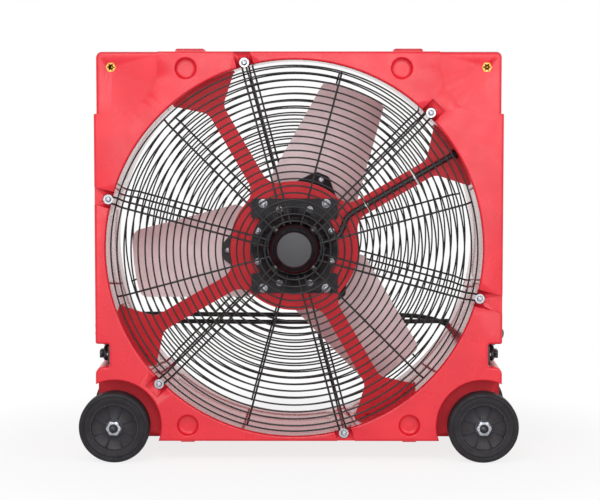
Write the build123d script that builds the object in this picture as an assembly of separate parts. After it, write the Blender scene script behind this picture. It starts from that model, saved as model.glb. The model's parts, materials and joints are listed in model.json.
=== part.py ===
from build123d import *
import os
from math import asin, atan, cos, degrees, hypot, pi, radians, sin, tan

# Axial air mover. Millimetres, +Z up, front towards -Y, +X to the right seen from the front.
# The origin is on the floor, midway between the wheels and midway through the depth.

# ---- housing ---------------------------------------------------------------------------------
BORE_RADIUS = 337            # duct
BORE_MARGIN_LEFT = 20        # wall left of the duct at its thinnest
BORE_MARGIN_RIGHT = 36
BORE_MARGIN_TOP = 15
BORE_MARGIN_BOTTOM = 10
HOUSING_DEPTH = 290
GROUND_CLEARANCE = 36
OUTER_CORNER_ROUND = 10
FACE_EDGE_ROUND = 5
BORE_EDGE_ROUND = 4.5

PAD_RADIUS = 83              # stepped-back top corners
PAD_FACE_STEP = 4
PAD_SIDE_STEP = 4.5
PAD_TOP_STEP = 1.5
PAD_DEPTH = 55
INSERT_FROM_SIDE = 31
INSERT_FROM_TOP = 28
INSERT_ACROSS_FLATS = 15.6
INSERT_LENGTH = 20
INSERT_PROUD = 0.5
INSERT_HOLE_RADIUS = 4.25    # M10 tapping size

DIMPLE_RADIUS = 18.5
DIMPLE_DEPTH = 12
DIMPLE_FLOOR_ROUND = 6
DIMPLE_EDGE_ROUND = 2.5
DIMPLE_FROM_TOP = 30
DIMPLE_FROM_BOTTOM = 29
DIMPLE_SPACING_TOP = (-201, 183)
DIMPLE_SPACING_BOTTOM = (-200, 199)

LUG_SPACING = 400            # stacking lugs on the top
LUG_WIDTH = 53
LUG_DEPTH = 60
LUG_HEIGHT = 7
LUG_ROUND = 4
BOSS_WIDTH = 25               # low bosses under the lower dimples
BOSS_LENGTH = 30
BOSS_HEIGHT = 2
BOSS_ROUND = 1.5

GROOVE_DEPTH = 25            # cable grooves along both sides
GROOVE_HEIGHT = 41
GROOVE_ABOVE_FLOOR = 171
GROOVE_LOWER_LIP_ROUND = 14
GROOVE_UPPER_LIP_ROUND = 4
GROOVE_INNER_ROUND = 3

CHANNEL_WIDTH = 31           # recesses that let the guard loops down to their screws
CHANNEL_DEPTH = 9
CHANNEL_REACH = 27           # beyond the duct wall, where the end is closed
CHANNEL_RUN_OUT = 70         # beyond the duct wall, where the channel leaves through the edge

# ---- wheels ----------------------------------------------------------------------------------
WHEEL_RADIUS = 63.5
WHEEL_WIDTH = 38
WHEEL_FROM_SIDE = 34
WHEEL_PROUD = 20             # ahead of the housing face
WELL_RADIUS = 83
WELL_DEPTH = 55
WELL_EDGE_ROUND = 3
TYRE_BORE_RADIUS = 43.5
TYRE_SHOULDER_ROUND = 7
TYRE_RING_RADIUS = 54.5      # raised ring on the side wall
TYRE_RING_ROUND = 2.2
TYRE_FACE_SLOPE = 2           # how far the side wall falls back at the rim
RIM_WALL = 3.5
WHEEL_DISC_THICKNESS = 4
WHEEL_DISC_SET_BACK = 9      # from the outer face of the tyre
WHEEL_HUB_RADIUS = 17
WHEEL_HUB_SET_BACK = 10.5
WHEEL_RIB_COUNT = 8
WHEEL_RIB_THICKNESS = 1.6
WHEEL_RIB_HEIGHT = 3
BUSH_WALL = 2.5
AXLE_RADIUS = 8
AXLE_GRIP = 50               # length of the axle inside the housing
AXLE_BOSS_RADIUS = 21
AXLE_NUT_ACROSS_FLATS = 24
AXLE_NUT_THICKNESS = 11
AXLE_NUT_CHAMFER = 2
AXLE_WASHER_RADIUS = 15
AXLE_WASHER_THICKNESS = 2
AXLE_END = 1.2               # thread standing out of the nut

# ---- guards ----------------------------------------------------------------------------------
RING_WIRE_RADIUS = 1.5
SPOKE_WIRE_RADIUS = 1.8
RING_PITCH = 12.5
OUTER_RING_GAP = 9.7         # outer ring to duct wall
INNER_RING_GAP = 18.5        # front guard's inner ring to the flat of the motor cap
REAR_INNER_RING_RADIUS = 14
REAR_PAIR_START_RADIUS = 21
REAR_SINGLE_START_RADIUS = 34
SPOKE_START_GAP = 5.5        # inner end of a spoke to the front guard's inner ring
GUARD_STAND_OFF = 22         # ring plane ahead of the housing face
SPOKE_PAIR_SPACING = 12
SPOKE_BEND_GAP = 20          # bend to duct wall
SPOKE_FOOT_GAP = 7
SPOKE_BEND_ROUND = 7
SPOKE_COUNT = 6
LOOP_SPOKE_ANGLE = 45
SINGLE_SPOKE_ANGLE = 15
GUARD_SCREW_SET_OUT = 7      # screw to duct wall
GUARD_SCREW_RADIUS = 2.4
GUARD_SCREW_GRIP = 20
GUARD_WASHER_RADIUS = 8.6
GUARD_WASHER_THICKNESS = 1.6
GUARD_SCREW_HEAD_RADIUS = 5.2
GUARD_SCREW_HEAD_HEIGHT = 3.6

# ---- motor support ---------------------------------------------------------------------------
SUPPORT_FRONT = -65          # front face of the plate
SUPPORT_THICKNESS = 4
SUPPORT_RING_RADIUS = 118
SUPPORT_RING_BORE = 70
SUPPORT_LEG_COUNT = 4
SUPPORT_LEG_ANGLE = 30
SUPPORT_LEG_WIDTH = 30.5
SUPPORT_ROOT_ROUND = 31
SUPPORT_FOOT_LENGTH = 51     # flared end of a leg, along the leg
SUPPORT_FOOT_WIDTH = 126
SUPPORT_FOOT_ROUND = 24
SUPPORT_FLANGE_DEPTH = 42
FLANGE_BOLT_SPACING = 78
FLANGE_BOLT_RADIUS = 4
FLANGE_BOLT_GRIP = 24
FLANGE_BOLT_HEAD_RADIUS = 7.5
FLANGE_BOLT_HEAD_HEIGHT = 5

# ---- motor -----------------------------------------------------------------------------------
MOUNT_PLATE_WIDTH = 158
MOUNT_PLATE_HEIGHT = 173
MOUNT_PLATE_THICKNESS = 4
MOUNT_LUG_HEIGHT = 37
MOUNT_WAIST_WIDTH = 124
MOUNT_CORNER_ROUND = 6
MOUNT_SCREW_FROM_SIDE = 21.5
MOUNT_SCREW_FROM_TOP = 9
MOUNT_SCREW_RADIUS = 4
MOUNT_SCREW_HEAD_RADIUS = 8
MOUNT_SCREW_HEAD_HEIGHT = 4
MOTOR_FLANGE_RADIUS = 79
MOTOR_FLANGE_THICKNESS = 6
MOTOR_SCREW_COUNT = 8
MOTOR_SCREW_CIRCLE = 72.5
MOTOR_SCREW_RADIUS = 2.5
MOTOR_SCREW_HEAD_RADIUS = 5.8
MOTOR_SCREW_HEAD_HEIGHT = 4
MOTOR_RADIUS = 56
MOTOR_WALL = 6.5
MOTOR_FRONT = -134
MOTOR_REAR = -30
MOTOR_END_WALL = 6
MOTOR_RIB_COUNT = 16
MOTOR_RIB_THICKNESS = 3
MOTOR_RIB_HEIGHT = 7
MOTOR_RIB_SET_BACK = 12       # from the motor's front edge
BEARING_SEAT_WALL = 4.5
STATOR_LENGTH = 40
STATOR_BORE = 30
STATOR_REAR = -62
WINDING_LENGTH = 15
WINDING_INSET = 2
WINDING_BORE = 33
AIR_GAP = 0.7
SHAFT_RADIUS = 8
BEARING_RADIUS = 17.5
BEARING_WIDTH = 11
CAP_RADIUS = 45
CAP_FACE_RADIUS = 31.5
CAP_FRONT = -159
CAP_WALL = 3
CAP_ARM_COUNT = 4
CAP_ARM_WIDTH = 9
CAP_ARM_THICKNESS = 5

# ---- impeller --------------------------------------------------------------------------------
BLADE_COUNT = 3
BLADE_ANGLE = 68
TIP_GAP = 32                 # blade tip to duct wall
BLADE_THICKNESS = 3
BLADE_ROOT_RADIUS = 78
BLADE_ROOT_LEFT = 87.7       # half widths at BLADE_ROOT_STATION, seen from the front
BLADE_ROOT_RIGHT = 82.5
BLADE_ROOT_STATION = 100
BLADE_TIP_LEFT = 61.5
BLADE_TIP_RIGHT = 60
BLADE_TIP_STATION = 300
BLADE_CORNER_ROUND = 14
BLADE_LEAD_ROOT = 8          # depth of the leading edge
BLADE_LEAD_TIP = 22
BLADE_RISE_ROOT = 74         # depth from leading to trailing edge
BLADE_RISE_TIP = 44
HUB_RADIUS = 27
HUB_FRONT = -21
HUB_REAR = 62
HUB_ARM_THICKNESS = 6
HUB_ARM_REACH = 137
HUB_ARM_ROOT_WIDTH = 92
HUB_ARM_TIP_WIDTH = 26
HUB_ARM_TAPER_START = 100
BLADE_SCREW_RADIUS = 3
BLADE_SCREW_HEAD_RADIUS = 6
BLADE_SCREW_HEAD_HEIGHT = 4
BLADE_SCREW_PLACES = ((126, 0), (98, 27), (98, -27))
HUB_BOLT_RADIUS = 4
HUB_BOLT_HEAD_RADIUS = 8
HUB_BOLT_HEAD_HEIGHT = 6
HUB_WASHER_RADIUS = 15
HUB_WASHER_THICKNESS = 3

# ---- motor lead and switch -------------------------------------------------------------------
LEAD_RADIUS = 5.3            # wires in a corrugated conduit
LEAD_EXIT_ANGLE = 11.25      # between two ribs of the motor
LEAD_EXIT_DEPTH = -98
LEAD_EXIT_RUN = 24
LEAD_LEG_START = 107.6       # from the fan axis to where the lead joins the leg
LEAD_GRIP = 12               # beyond the duct wall
LEAD_GLAND_WALL = 1.8
LEAD_GLAND_LENGTH = 10
TIE_WIDTH = 3.6
TIE_THICKNESS = 1.3
TIE_PLACES = (151, 252)
GROMMET_RADIUS = 9
GROMMET_THICKNESS = 3
GROMMET_SLEEVE_WALL = 1.4
GROMMET_SLEEVE_LENGTH = 8
HEX_FLAT = 0.87               # across flats over across corners, of bolt heads

SWITCH_BOX_WIDTH = 40         # control box in a recess of the rear face
SWITCH_BOX_HEIGHT = 96
SWITCH_BOX_DEPTH = 27
SWITCH_BOX_WALL = 3
SWITCH_BOX_ROUND = 5
SWITCH_BOX_FROM_SIDE = 10
SWITCH_RECESS_DEPTH = 9
SWITCH_RECESS_GAP = 1.5       # round the box
SWITCH_RECESS_ROUND = 6
SWITCH_BOX_ABOVE_AXIS = 130
SWITCH_UNIT_SIZE = 30
SWITCH_UNIT_DEPTH = 20
KNOB_RADIUS = 17
KNOB_HEIGHT = 10
KNOB_GRIP_WIDTH = 7
KNOB_ABOVE_CENTRE = 16
KNOB_STEM_RADIUS = 4
KNOB_RIM_SHARE = 0.35         # of the knob's height
KNOB_GRIP_ROUND = 2.5
KNOB_GRIP_INSET = 1.5
GLAND_RADIUS = 9.5
GLAND_LENGTH = 20
GLAND_OFFSET = 16             # from the base of the box
GLAND_NUT_LENGTH = 8
GLAND_ROOM = 26               # recess below the box, for the gland's nut
GLAND_WALL = 2

# ---- cable hooks -----------------------------------------------------------------------------
HOOK_FROM_FRONT = 36
HOOK_POST_RADIUS = 4.2
HOOK_POST_LENGTH = 9.6
HOOK_HEAD_THICKNESS = 5.5
HOOK_HEAD_HEIGHT = 14
HOOK_HEAD_LENGTH = 32
HOOK_BASE_THICKNESS = 4
HOOK_BASE_HEIGHT = 34
HOOK_BASE_LENGTH = 44
HOOK_SCREW_RADIUS = 2
HOOK_SCREW_SPACING = 34
HOOK_SCREW_GRIP = 16
HOOK_SCREW_HEAD_RADIUS = 3.8
HOOK_SCREW_HEAD_HEIGHT = 2.4
HOOK_CORNER_ROUND = 4.2

# power cord, wound twice round the back of the machine between the hooks
CORD_RADIUS = 4.5
CORD_HOOK_GAP = 0.3           # cord to hook post
CORD_GROOVE_OUT = 9           # cord's middle outside the groove floor
CORD_CORNER_REACH = 28        # how far behind the rear face it comes at the corners
CORD_SWING_OUT = 44           # how far it bulges at the rear corners
PLUG_RADIUS = 14.5
PLUG_LENGTH = 30
PLUG_ROUND = 3
PLUG_BOOT_RADIUS = 7
PLUG_BOOT_LENGTH = 20
PLUG_FACE_SHARE = 0.86        # width of the plug's face over its own
PIN_WIDTH = 6.3
PIN_THICKNESS = 1.5
PIN_LENGTH = 18
PIN_SPACING = 12.7
PIN_SET_IN = 6
EARTH_PIN_RADIUS = 2.4
EARTH_PIN_OFFSET = 11.9

# ---- fits ------------------------------------------------------------------------------------
SEAT = 0.1                   # parts that rest on each other
RUNNING_FIT = 0.15           # shafts in bearings and bushes
RUNNING_CLEARANCE = 0.4      # moving faces beside still ones
THREAD_FIT = 0.1             # screws in their holes
BEYOND = 5                   # how far a cutter stands out of what it cuts

# ---- sizes that follow -----------------------------------------------------------------------
HOUSING_WIDTH = 2 * BORE_RADIUS + BORE_MARGIN_LEFT + BORE_MARGIN_RIGHT
HOUSING_HEIGHT = 2 * BORE_RADIUS + BORE_MARGIN_TOP + BORE_MARGIN_BOTTOM
HALF_WIDTH = HOUSING_WIDTH / 2
FACE = HOUSING_DEPTH / 2
TOP = GROUND_CLEARANCE + HOUSING_HEIGHT
AXIS_X = BORE_MARGIN_LEFT + BORE_RADIUS - HALF_WIDTH
AXIS_Z = GROUND_CLEARANCE + BORE_MARGIN_BOTTOM + BORE_RADIUS
FAN_AXIS = Pos(AXIS_X, 0, AXIS_Z)
CHANNEL_FLOOR = FACE - CHANNEL_DEPTH
WHEEL_X = HALF_WIDTH - WHEEL_FROM_SIDE
WHEEL_Y = FACE + WHEEL_PROUD - WHEEL_WIDTH / 2
INSERT_X = HALF_WIDTH - INSERT_FROM_SIDE
INSERT_Z = TOP - INSERT_FROM_TOP
GUARD_SCREW_CIRCLE = BORE_RADIUS + GUARD_SCREW_SET_OUT
LOOP_SPOKE_ANGLES = [LOOP_SPOKE_ANGLE + 360 / SPOKE_COUNT * i for i in range(SPOKE_COUNT)]
SINGLE_SPOKE_ANGLES = [SINGLE_SPOKE_ANGLE + 360 / SPOKE_COUNT * i for i in range(SPOKE_COUNT)]
LEG_ANGLES = [SUPPORT_LEG_ANGLE + 360 / SUPPORT_LEG_COUNT * i for i in range(SUPPORT_LEG_COUNT)]
MOUNT_PLATE_FRONT = SUPPORT_FRONT - MOUNT_PLATE_THICKNESS
FLANGE_FRONT = MOUNT_PLATE_FRONT - MOTOR_FLANGE_THICKNESS


# ---- helpers ---------------------------------------------------------------------------------
def seen_from_front(y):
    """Sketch plane at depth y: its X is to the right and its Y is up."""
    return Plane(origin=(0, y, 0), x_dir=(1, 0, 0), z_dir=(0, -1, 0))


def slab(outline, front, back):
    """An outline drawn as seen from the front, solid from depth front to depth back."""
    return extrude(seen_from_front(back) * outline, amount=back - front, dir=(0, -1, 0))


def lathe(outline):
    """A profile of radius against depth, turned round the Y axis."""
    return revolve(outline, Axis.Y, 360)


def rod(radius, front, back):
    """A cylinder round the Y axis from depth front to depth back."""
    return slab(Circle(radius), front, back)


def tube(outer, inner, front, back):
    return slab(Circle(outer) - Circle(inner), front, back)


def turned(part, angle):
    """Turned round the Y axis, anticlockwise seen from the front."""
    return Rot(0, -angle, 0) * part


def behind(part):
    """The same thing on the rear of the machine."""
    return mirror(part, Plane.XZ)


def at_vertex(sketch, x, y):
    """The corner of a sketch nearest to a point."""
    return sketch.vertices().sort_by_distance((x, y, 0))[0]


def round_recess(radius, depth, floor_round, edge_round):
    """Cutter for a round recess from depth 0 inwards, with a rolled edge and a rounded floor."""
    wide = radius + edge_round + BEYOND
    outline = Polygon((0, -BEYOND), (wide, -BEYOND), (wide, 0), (radius, 0), (radius, depth), (0, depth),
                      align=None)
    outline = fillet(at_vertex(outline, radius, 0), edge_round)
    outline = fillet(at_vertex(outline, radius, depth), floor_round)
    return lathe(outline)


def hexagon(across_flats):
    return RegularPolygon(across_flats / 2, 6, major_radius=False)


def pan_screw(shank, grip, head, head_height):
    """Screw along Y with the underside of its head at depth 0 and its shank behind that."""
    outline = Polygon((0, -head_height), (head, -head_height), (head, 0),
                      (shank, 0), (shank, grip), (0, grip), align=None)
    outline = fillet(at_vertex(outline, head, -head_height), head_height * 0.6)
    return lathe(outline)


# ---- housing ---------------------------------------------------------------------------------
def housing_outline(side_step=0, top_step=0):
    """The housing seen from the front, with its cable grooves."""
    width = HOUSING_WIDTH - 2 * side_step
    height = HOUSING_HEIGHT - top_step
    block = Pos(0, GROUND_CLEARANCE + height / 2) * RectangleRounded(width, height, OUTER_CORNER_ROUND)
    groove_floor = HALF_WIDTH - GROOVE_DEPTH
    upper = GROOVE_ABOVE_FLOOR + GROOVE_HEIGHT
    for side in (-1, 1):
        block -= Pos(side * (groove_floor + GROOVE_DEPTH), (GROOVE_ABOVE_FLOOR + upper) / 2) * Rectangle(
            2 * GROOVE_DEPTH, GROOVE_HEIGHT)
    for side in (-1, 1):
        edge = side * width / 2
        block = fillet(at_vertex(block, edge, GROOVE_ABOVE_FLOOR), GROOVE_LOWER_LIP_ROUND)
        block = fillet(at_vertex(block, edge, upper), GROOVE_UPPER_LIP_ROUND)
        block = fillet(at_vertex(block, side * groove_floor, GROOVE_ABOVE_FLOOR), GROOVE_INNER_ROUND)
        block = fillet(at_vertex(block, side * groove_floor, upper), GROOVE_INNER_ROUND)
    return block


def rounded_block(outline, half_depth):
    block = slab(outline, -half_depth, half_depth)
    rims = block.edges().group_by(Axis.Y)
    return fillet(rims[0] + rims[-1], FACE_EDGE_ROUND)


def corner_pads(block):
    """Steps the four top corners back behind the face, the side and the top."""
    stepped = rounded_block(housing_outline(PAD_SIDE_STEP, PAD_TOP_STEP), FACE - PAD_FACE_STEP)
    reach_x = INSERT_FROM_SIDE + PAD_RADIUS
    reach_z = INSERT_FROM_TOP + PAD_RADIUS
    for side in (-1, 1):
        zone = Pos(side * (HALF_WIDTH + BEYOND - reach_x / 2), TOP + BEYOND - reach_z / 2) * Rectangle(
            reach_x + 2 * BEYOND, reach_z + 2 * BEYOND)
        zone = fillet(at_vertex(zone, side * (HALF_WIDTH - reach_x), TOP - reach_z), PAD_RADIUS)
        for front, back in ((-FACE - BEYOND, -FACE + PAD_DEPTH), (FACE - PAD_DEPTH, FACE + BEYOND)):
            prism = slab(zone, front, back)
            block = (block - prism) + (stepped & prism)
    return block


def bore_cutter():
    rim = BORE_RADIUS + BORE_EDGE_ROUND + 1
    out = FACE + BEYOND
    outline = Polygon((0, -out), (rim, -out), (rim, -FACE), (BORE_RADIUS, -FACE), (BORE_RADIUS, FACE),
                      (rim, FACE), (rim, out), (0, out), align=None)
    outline = fillet(at_vertex(outline, BORE_RADIUS, -FACE), BORE_EDGE_ROUND)
    outline = fillet(at_vertex(outline, BORE_RADIUS, FACE), BORE_EDGE_ROUND)
    return FAN_AXIS * lathe(outline)


def channel_cutter(angle):
    """One guard screw channel in the front face; only those towards a corner are closed."""
    start = BORE_RADIUS - BEYOND * 3
    closed = abs(sin(radians(2 * angle))) > 0.9
    end = BORE_RADIUS + (CHANNEL_REACH if closed else CHANNEL_RUN_OUT)
    outline = Pos((start + end) / 2, 0) * Rectangle(end - start, CHANNEL_WIDTH)
    floor = slab(outline, -FACE - BEYOND, -CHANNEL_FLOOR)
    hole = rod(GUARD_SCREW_RADIUS + THREAD_FIT, -FACE, -CHANNEL_FLOOR + GUARD_SCREW_GRIP)
    return FAN_AXIS * turned(floor + Pos(GUARD_SCREW_CIRCLE, 0, 0) * hole, angle)


def stacking_lug(x):
    lug = Pos(x, 0, TOP) * Box(LUG_WIDTH, LUG_DEPTH, 2 * LUG_HEIGHT)
    return fillet(lug.edges().group_by(Axis.Z)[-1], LUG_ROUND)


def bottom_boss(x):
    """Low rounded boss along the front edge of the underside."""
    boss = Pos(x, -FACE + FACE_EDGE_ROUND + BOSS_LENGTH / 2, GROUND_CLEARANCE) * Box(
        BOSS_WIDTH, BOSS_LENGTH, 2 * BOSS_HEIGHT)
    return fillet(boss.edges().group_by(Axis.Z)[0], BOSS_ROUND)


def switch_recess():
    """Recess in the rear face for the control box, with room for the gland below it."""
    x, z = box_place()
    gap = 2 * SWITCH_RECESS_GAP
    outline = RectangleRounded(SWITCH_BOX_WIDTH + gap, SWITCH_BOX_HEIGHT + gap, SWITCH_RECESS_ROUND)
    under = -SWITCH_BOX_HEIGHT / 2
    outline += Pos(0, under) * RectangleRounded(2 * GLAND_RADIUS + gap, 2 * GLAND_ROOM, SWITCH_RECESS_ROUND)
    return Pos(x, 0, z) * slab(outline, box_base(), FACE + BEYOND)


def housing():
    block = rounded_block(housing_outline(), FACE)
    block = corner_pads(block)
    for side in (-1, 1):
        block += stacking_lug(side * LUG_SPACING / 2)
    for x in DIMPLE_SPACING_BOTTOM:
        block += bottom_boss(x) + behind(bottom_boss(x))
    block -= bore_cutter()
    well = round_recess(WELL_RADIUS, WELL_DEPTH, WELL_EDGE_ROUND, WELL_EDGE_ROUND)
    boss = rod(AXLE_BOSS_RADIUS, axle_boss_front(), -FACE + WELL_DEPTH + 1)
    axle_hole = rod(AXLE_RADIUS + THREAD_FIT, axle_boss_front() - BEYOND, -FACE + WELL_DEPTH + AXLE_GRIP)
    dimple = round_recess(DIMPLE_RADIUS, DIMPLE_DEPTH, DIMPLE_FLOOR_ROUND, DIMPLE_EDGE_ROUND)
    dimples = [(x, TOP - DIMPLE_FROM_TOP) for x in DIMPLE_SPACING_TOP]
    dimples += [(x, GROUND_CLEARANCE + DIMPLE_FROM_BOTTOM) for x in DIMPLE_SPACING_BOTTOM]
    for flip in (lambda part: part, behind):
        for side in (-1, 1):
            wheel_place = Pos(side * WHEEL_X, 0, WHEEL_RADIUS)
            block -= flip(wheel_place * Pos(0, -FACE, 0) * well)
            block += flip(wheel_place * boss)
            block -= flip(wheel_place * axle_hole)
            block -= flip(insert_pocket(side))
        for x, z in dimples:
            block -= flip(Pos(x, -FACE, z) * dimple)
        for angle in LOOP_SPOKE_ANGLES:
            block -= flip(channel_cutter(angle))
    bolt_hole = rod(FLANGE_BOLT_RADIUS + THREAD_FIT, -BEYOND, FLANGE_BOLT_GRIP)
    for angle in LEG_ANGLES:
        for hole in flange_bolt_places(angle, bolt_hole):
            block -= hole
    for hole in hook_screw_holes():
        block -= hole
    return block - lead_hole() - switch_recess()


def axle_boss_front():
    """Depth of the boss face that the front wheel's inner washer rests on."""
    return -WHEEL_Y + WHEEL_WIDTH / 2 + 2 * RUNNING_CLEARANCE + AXLE_WASHER_THICKNESS


def insert_pocket(side):
    pad_face = -FACE + PAD_FACE_STEP
    hole = slab(hexagon(INSERT_ACROSS_FLATS + 2 * SEAT), pad_face - BEYOND, pad_face + INSERT_LENGTH)
    return Pos(side * INSERT_X, 0, INSERT_Z) * hole


def brass_inserts():
    pad_face = -FACE + PAD_FACE_STEP
    body = slab(hexagon(INSERT_ACROSS_FLATS), pad_face - INSERT_PROUD, pad_face + INSERT_LENGTH - SEAT)
    body -= rod(INSERT_HOLE_RADIUS, pad_face - BEYOND, pad_face + INSERT_LENGTH - INSERT_PROUD - 2)
    inserts = [Pos(side * INSERT_X, 0, INSERT_Z) * body for side in (-1, 1)]
    return inserts + [behind(insert) for insert in inserts]


# ---- wheels ----------------------------------------------------------------------------------
def tyre():
    """Tyre round the Y axis, midway through its own width."""
    half = WHEEL_WIDTH / 2
    outline = Polygon((TYRE_BORE_RADIUS, -half + TYRE_FACE_SLOPE), (TYRE_RING_RADIUS - 4, -half),
                      (WHEEL_RADIUS, -half), (WHEEL_RADIUS, half), (TYRE_RING_RADIUS - 4, half),
                      (TYRE_BORE_RADIUS, half - TYRE_FACE_SLOPE), align=None)
    for end in (-1, 1):
        outline = fillet(at_vertex(outline, WHEEL_RADIUS, end * half), TYRE_SHOULDER_ROUND)
    body = lathe(outline)
    for end in (-1, 1):
        groove = Pos(TYRE_RING_RADIUS, end * (half + TYRE_RING_ROUND * 0.4)) * Circle(TYRE_RING_ROUND)
        body -= lathe(groove)
    return body


def wheel_centre():
    half = WHEEL_WIDTH / 2
    rim = tube(TYRE_BORE_RADIUS - SEAT, TYRE_BORE_RADIUS - RIM_WALL, -half + TYRE_FACE_SLOPE,
               half - TYRE_FACE_SLOPE)
    disc_front = -half + WHEEL_DISC_SET_BACK
    bush_seat = AXLE_RADIUS + RUNNING_FIT + BUSH_WALL + SEAT
    disc = tube(TYRE_BORE_RADIUS - RIM_WALL + 1, bush_seat, disc_front, disc_front + WHEEL_DISC_THICKNESS)
    hub = tube(WHEEL_HUB_RADIUS, bush_seat, -half + WHEEL_HUB_SET_BACK - 4, half)
    body = rim + disc + hub
    rib_length = TYRE_BORE_RADIUS - RIM_WALL - WHEEL_HUB_RADIUS + 2
    rib_mid = (TYRE_BORE_RADIUS - RIM_WALL + WHEEL_HUB_RADIUS) / 2
    rib = slab(Pos(rib_mid, 0) * Rectangle(rib_length, WHEEL_RIB_THICKNESS), disc_front - WHEEL_RIB_HEIGHT,
               disc_front + 1)
    for i in range(WHEEL_RIB_COUNT):
        body += turned(rib, 360 / WHEEL_RIB_COUNT * (i + 0.5))
    return body


def wheel_bush():
    half = WHEEL_WIDTH / 2
    inner = AXLE_RADIUS + RUNNING_FIT
    return tube(inner + BUSH_WALL, inner, -half + WHEEL_HUB_SET_BACK - 4, half)


def axle_stud():
    """Stud through the front wheel's hub, in the machine's own depth."""
    return rod(AXLE_RADIUS, axle_nut_front() - AXLE_END, -FACE + WELL_DEPTH + AXLE_GRIP - SEAT)


def hub_front():
    return -WHEEL_Y - WHEEL_WIDTH / 2 + WHEEL_HUB_SET_BACK - 4


def axle_nut_front():
    return hub_front() - 2 * RUNNING_CLEARANCE - AXLE_WASHER_THICKNESS - AXLE_NUT_THICKNESS


def axle_washers():
    outer = hub_front() - RUNNING_CLEARANCE - AXLE_WASHER_THICKNESS
    inner = axle_boss_front() - AXLE_WASHER_THICKNESS
    bore = AXLE_RADIUS + SEAT
    return [tube(AXLE_WASHER_RADIUS, bore, front, front + AXLE_WASHER_THICKNESS - SEAT)
            for front in (outer, inner)]


def axle_nut():
    back = hub_front() - RUNNING_CLEARANCE - AXLE_WASHER_THICKNESS - SEAT
    front = back - AXLE_NUT_THICKNESS
    flat = AXLE_NUT_ACROSS_FLATS / 2
    nut = slab(hexagon(AXLE_NUT_ACROSS_FLATS), front, back)
    rim = flat + AXLE_NUT_CHAMFER * 1.5
    chamfered = lathe(Polygon((0, front), (flat, front), (rim, front + AXLE_NUT_CHAMFER),
                              (rim, back), (0, back), align=None))
    return (nut & chamfered) - rod(AXLE_RADIUS + SEAT, front - BEYOND, back + BEYOND)


def at_each_wheel(part):
    """Copies of a front-wheel piece, given in the machine's depth, for all four corners."""
    fronts = [Pos(side * WHEEL_X, 0, WHEEL_RADIUS) * part for side in (-1, 1)]
    return fronts + [behind(one) for one in fronts]


# ---- guards ----------------------------------------------------------------------------------
def ring_radii(inner_radius):
    outer = BORE_RADIUS - OUTER_RING_GAP
    count = int((outer - inner_radius) / RING_PITCH) + 1
    return [outer - RING_PITCH * i for i in range(count)]


def spoke_line():
    """Radius and depth of the spokes' bend and foot."""
    flat = -FACE - GUARD_STAND_OFF + RING_WIRE_RADIUS + SPOKE_WIRE_RADIUS
    foot = -CHANNEL_FLOOR - SPOKE_WIRE_RADIUS - SEAT / 2
    return flat, foot, BORE_RADIUS - SPOKE_BEND_GAP, BORE_RADIUS - SPOKE_FOOT_GAP


def wire(path, radius):
    """A round wire along a path of lines and arcs."""
    profile = Plane(origin=path @ 0, z_dir=path % 0) * Circle(radius)
    return sweep(profile, path=path)


def loop_spoke(start):
    """One wire out along the guard, down to the housing, round its screw and back."""
    flat, foot, bend, down = spoke_line()
    half = SPOKE_PAIR_SPACING / 2
    legs = []
    for side in (1, -1):
        legs.append(FilletPolyline((start, flat, side * half), (bend, flat, side * half),
                                   (down, foot, side * half), (GUARD_SCREW_CIRCLE, foot, side * half),
                                   radius=SPOKE_BEND_ROUND))
    loop = ThreePointArc((GUARD_SCREW_CIRCLE, foot, half), (GUARD_SCREW_CIRCLE + half, foot, 0),
                         (GUARD_SCREW_CIRCLE, foot, -half))
    path = Wire(legs[0].edges() + loop.edges() + legs[1].edges())
    return wire(path, SPOKE_WIRE_RADIUS)


def single_spoke(start):
    flat, foot, bend, down = spoke_line()
    reach = (BORE_RADIUS - OUTER_RING_GAP - bend) / (down - bend)
    end = (bend + (down - bend) * reach, flat + (foot - flat) * reach, 0)
    path = FilletPolyline((start, flat, 0), (bend, flat, 0), end, radius=SPOKE_BEND_ROUND)
    return wire(path, SPOKE_WIRE_RADIUS)


def guard_rings(inner_radius):
    """Rings welded on the front of the spokes, down their slope at the rim."""
    flat, foot, bend, down = spoke_line()
    touch = RING_WIRE_RADIUS + SPOKE_WIRE_RADIUS
    slope = hypot(down - bend, foot - flat)
    rings = []
    for radius in ring_radii(inner_radius):
        depth = flat - touch
        if radius > bend:
            foot_point = radius - touch * (foot - flat) / slope
            depth = flat + (foot_point - bend) * (foot - flat) / (down - bend) - touch * (down - bend) / slope
        rings.append(lathe(Pos(radius, depth) * Circle(RING_WIRE_RADIUS)))
    return rings


def front_guard():
    inner_radius = CAP_FACE_RADIUS + INNER_RING_GAP
    start = ring_radii(inner_radius)[-1] - SPOKE_START_GAP
    pieces = guard_rings(inner_radius)
    for i in range(SPOKE_COUNT):
        pieces.append(turned(loop_spoke(start), LOOP_SPOKE_ANGLES[i]))
        pieces.append(turned(single_spoke(start), SINGLE_SPOKE_ANGLES[i]))
    return [FAN_AXIS * piece for piece in pieces]


def rear_guard():
    """Closed to the centre, where two opposite single spokes meet and carry the smallest ring."""
    pieces = guard_rings(REAR_INNER_RING_RADIUS)
    for i in range(SPOKE_COUNT):
        start = 0 if i % (SPOKE_COUNT // 2) == 0 else REAR_SINGLE_START_RADIUS
        pieces.append(turned(loop_spoke(REAR_PAIR_START_RADIUS), LOOP_SPOKE_ANGLES[i]))
        pieces.append(turned(single_spoke(start), SINGLE_SPOKE_ANGLES[i]))
    return [behind(FAN_AXIS * piece) for piece in pieces]


def at_each_guard_screw(part):
    """Copies of a piece, given round the Y axis at the front channel floor, at every guard screw."""
    placed = Pos(GUARD_SCREW_CIRCLE, -CHANNEL_FLOOR, 0) * part
    return [FAN_AXIS * turned(placed, angle) for angle in LOOP_SPOKE_ANGLES]


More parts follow.
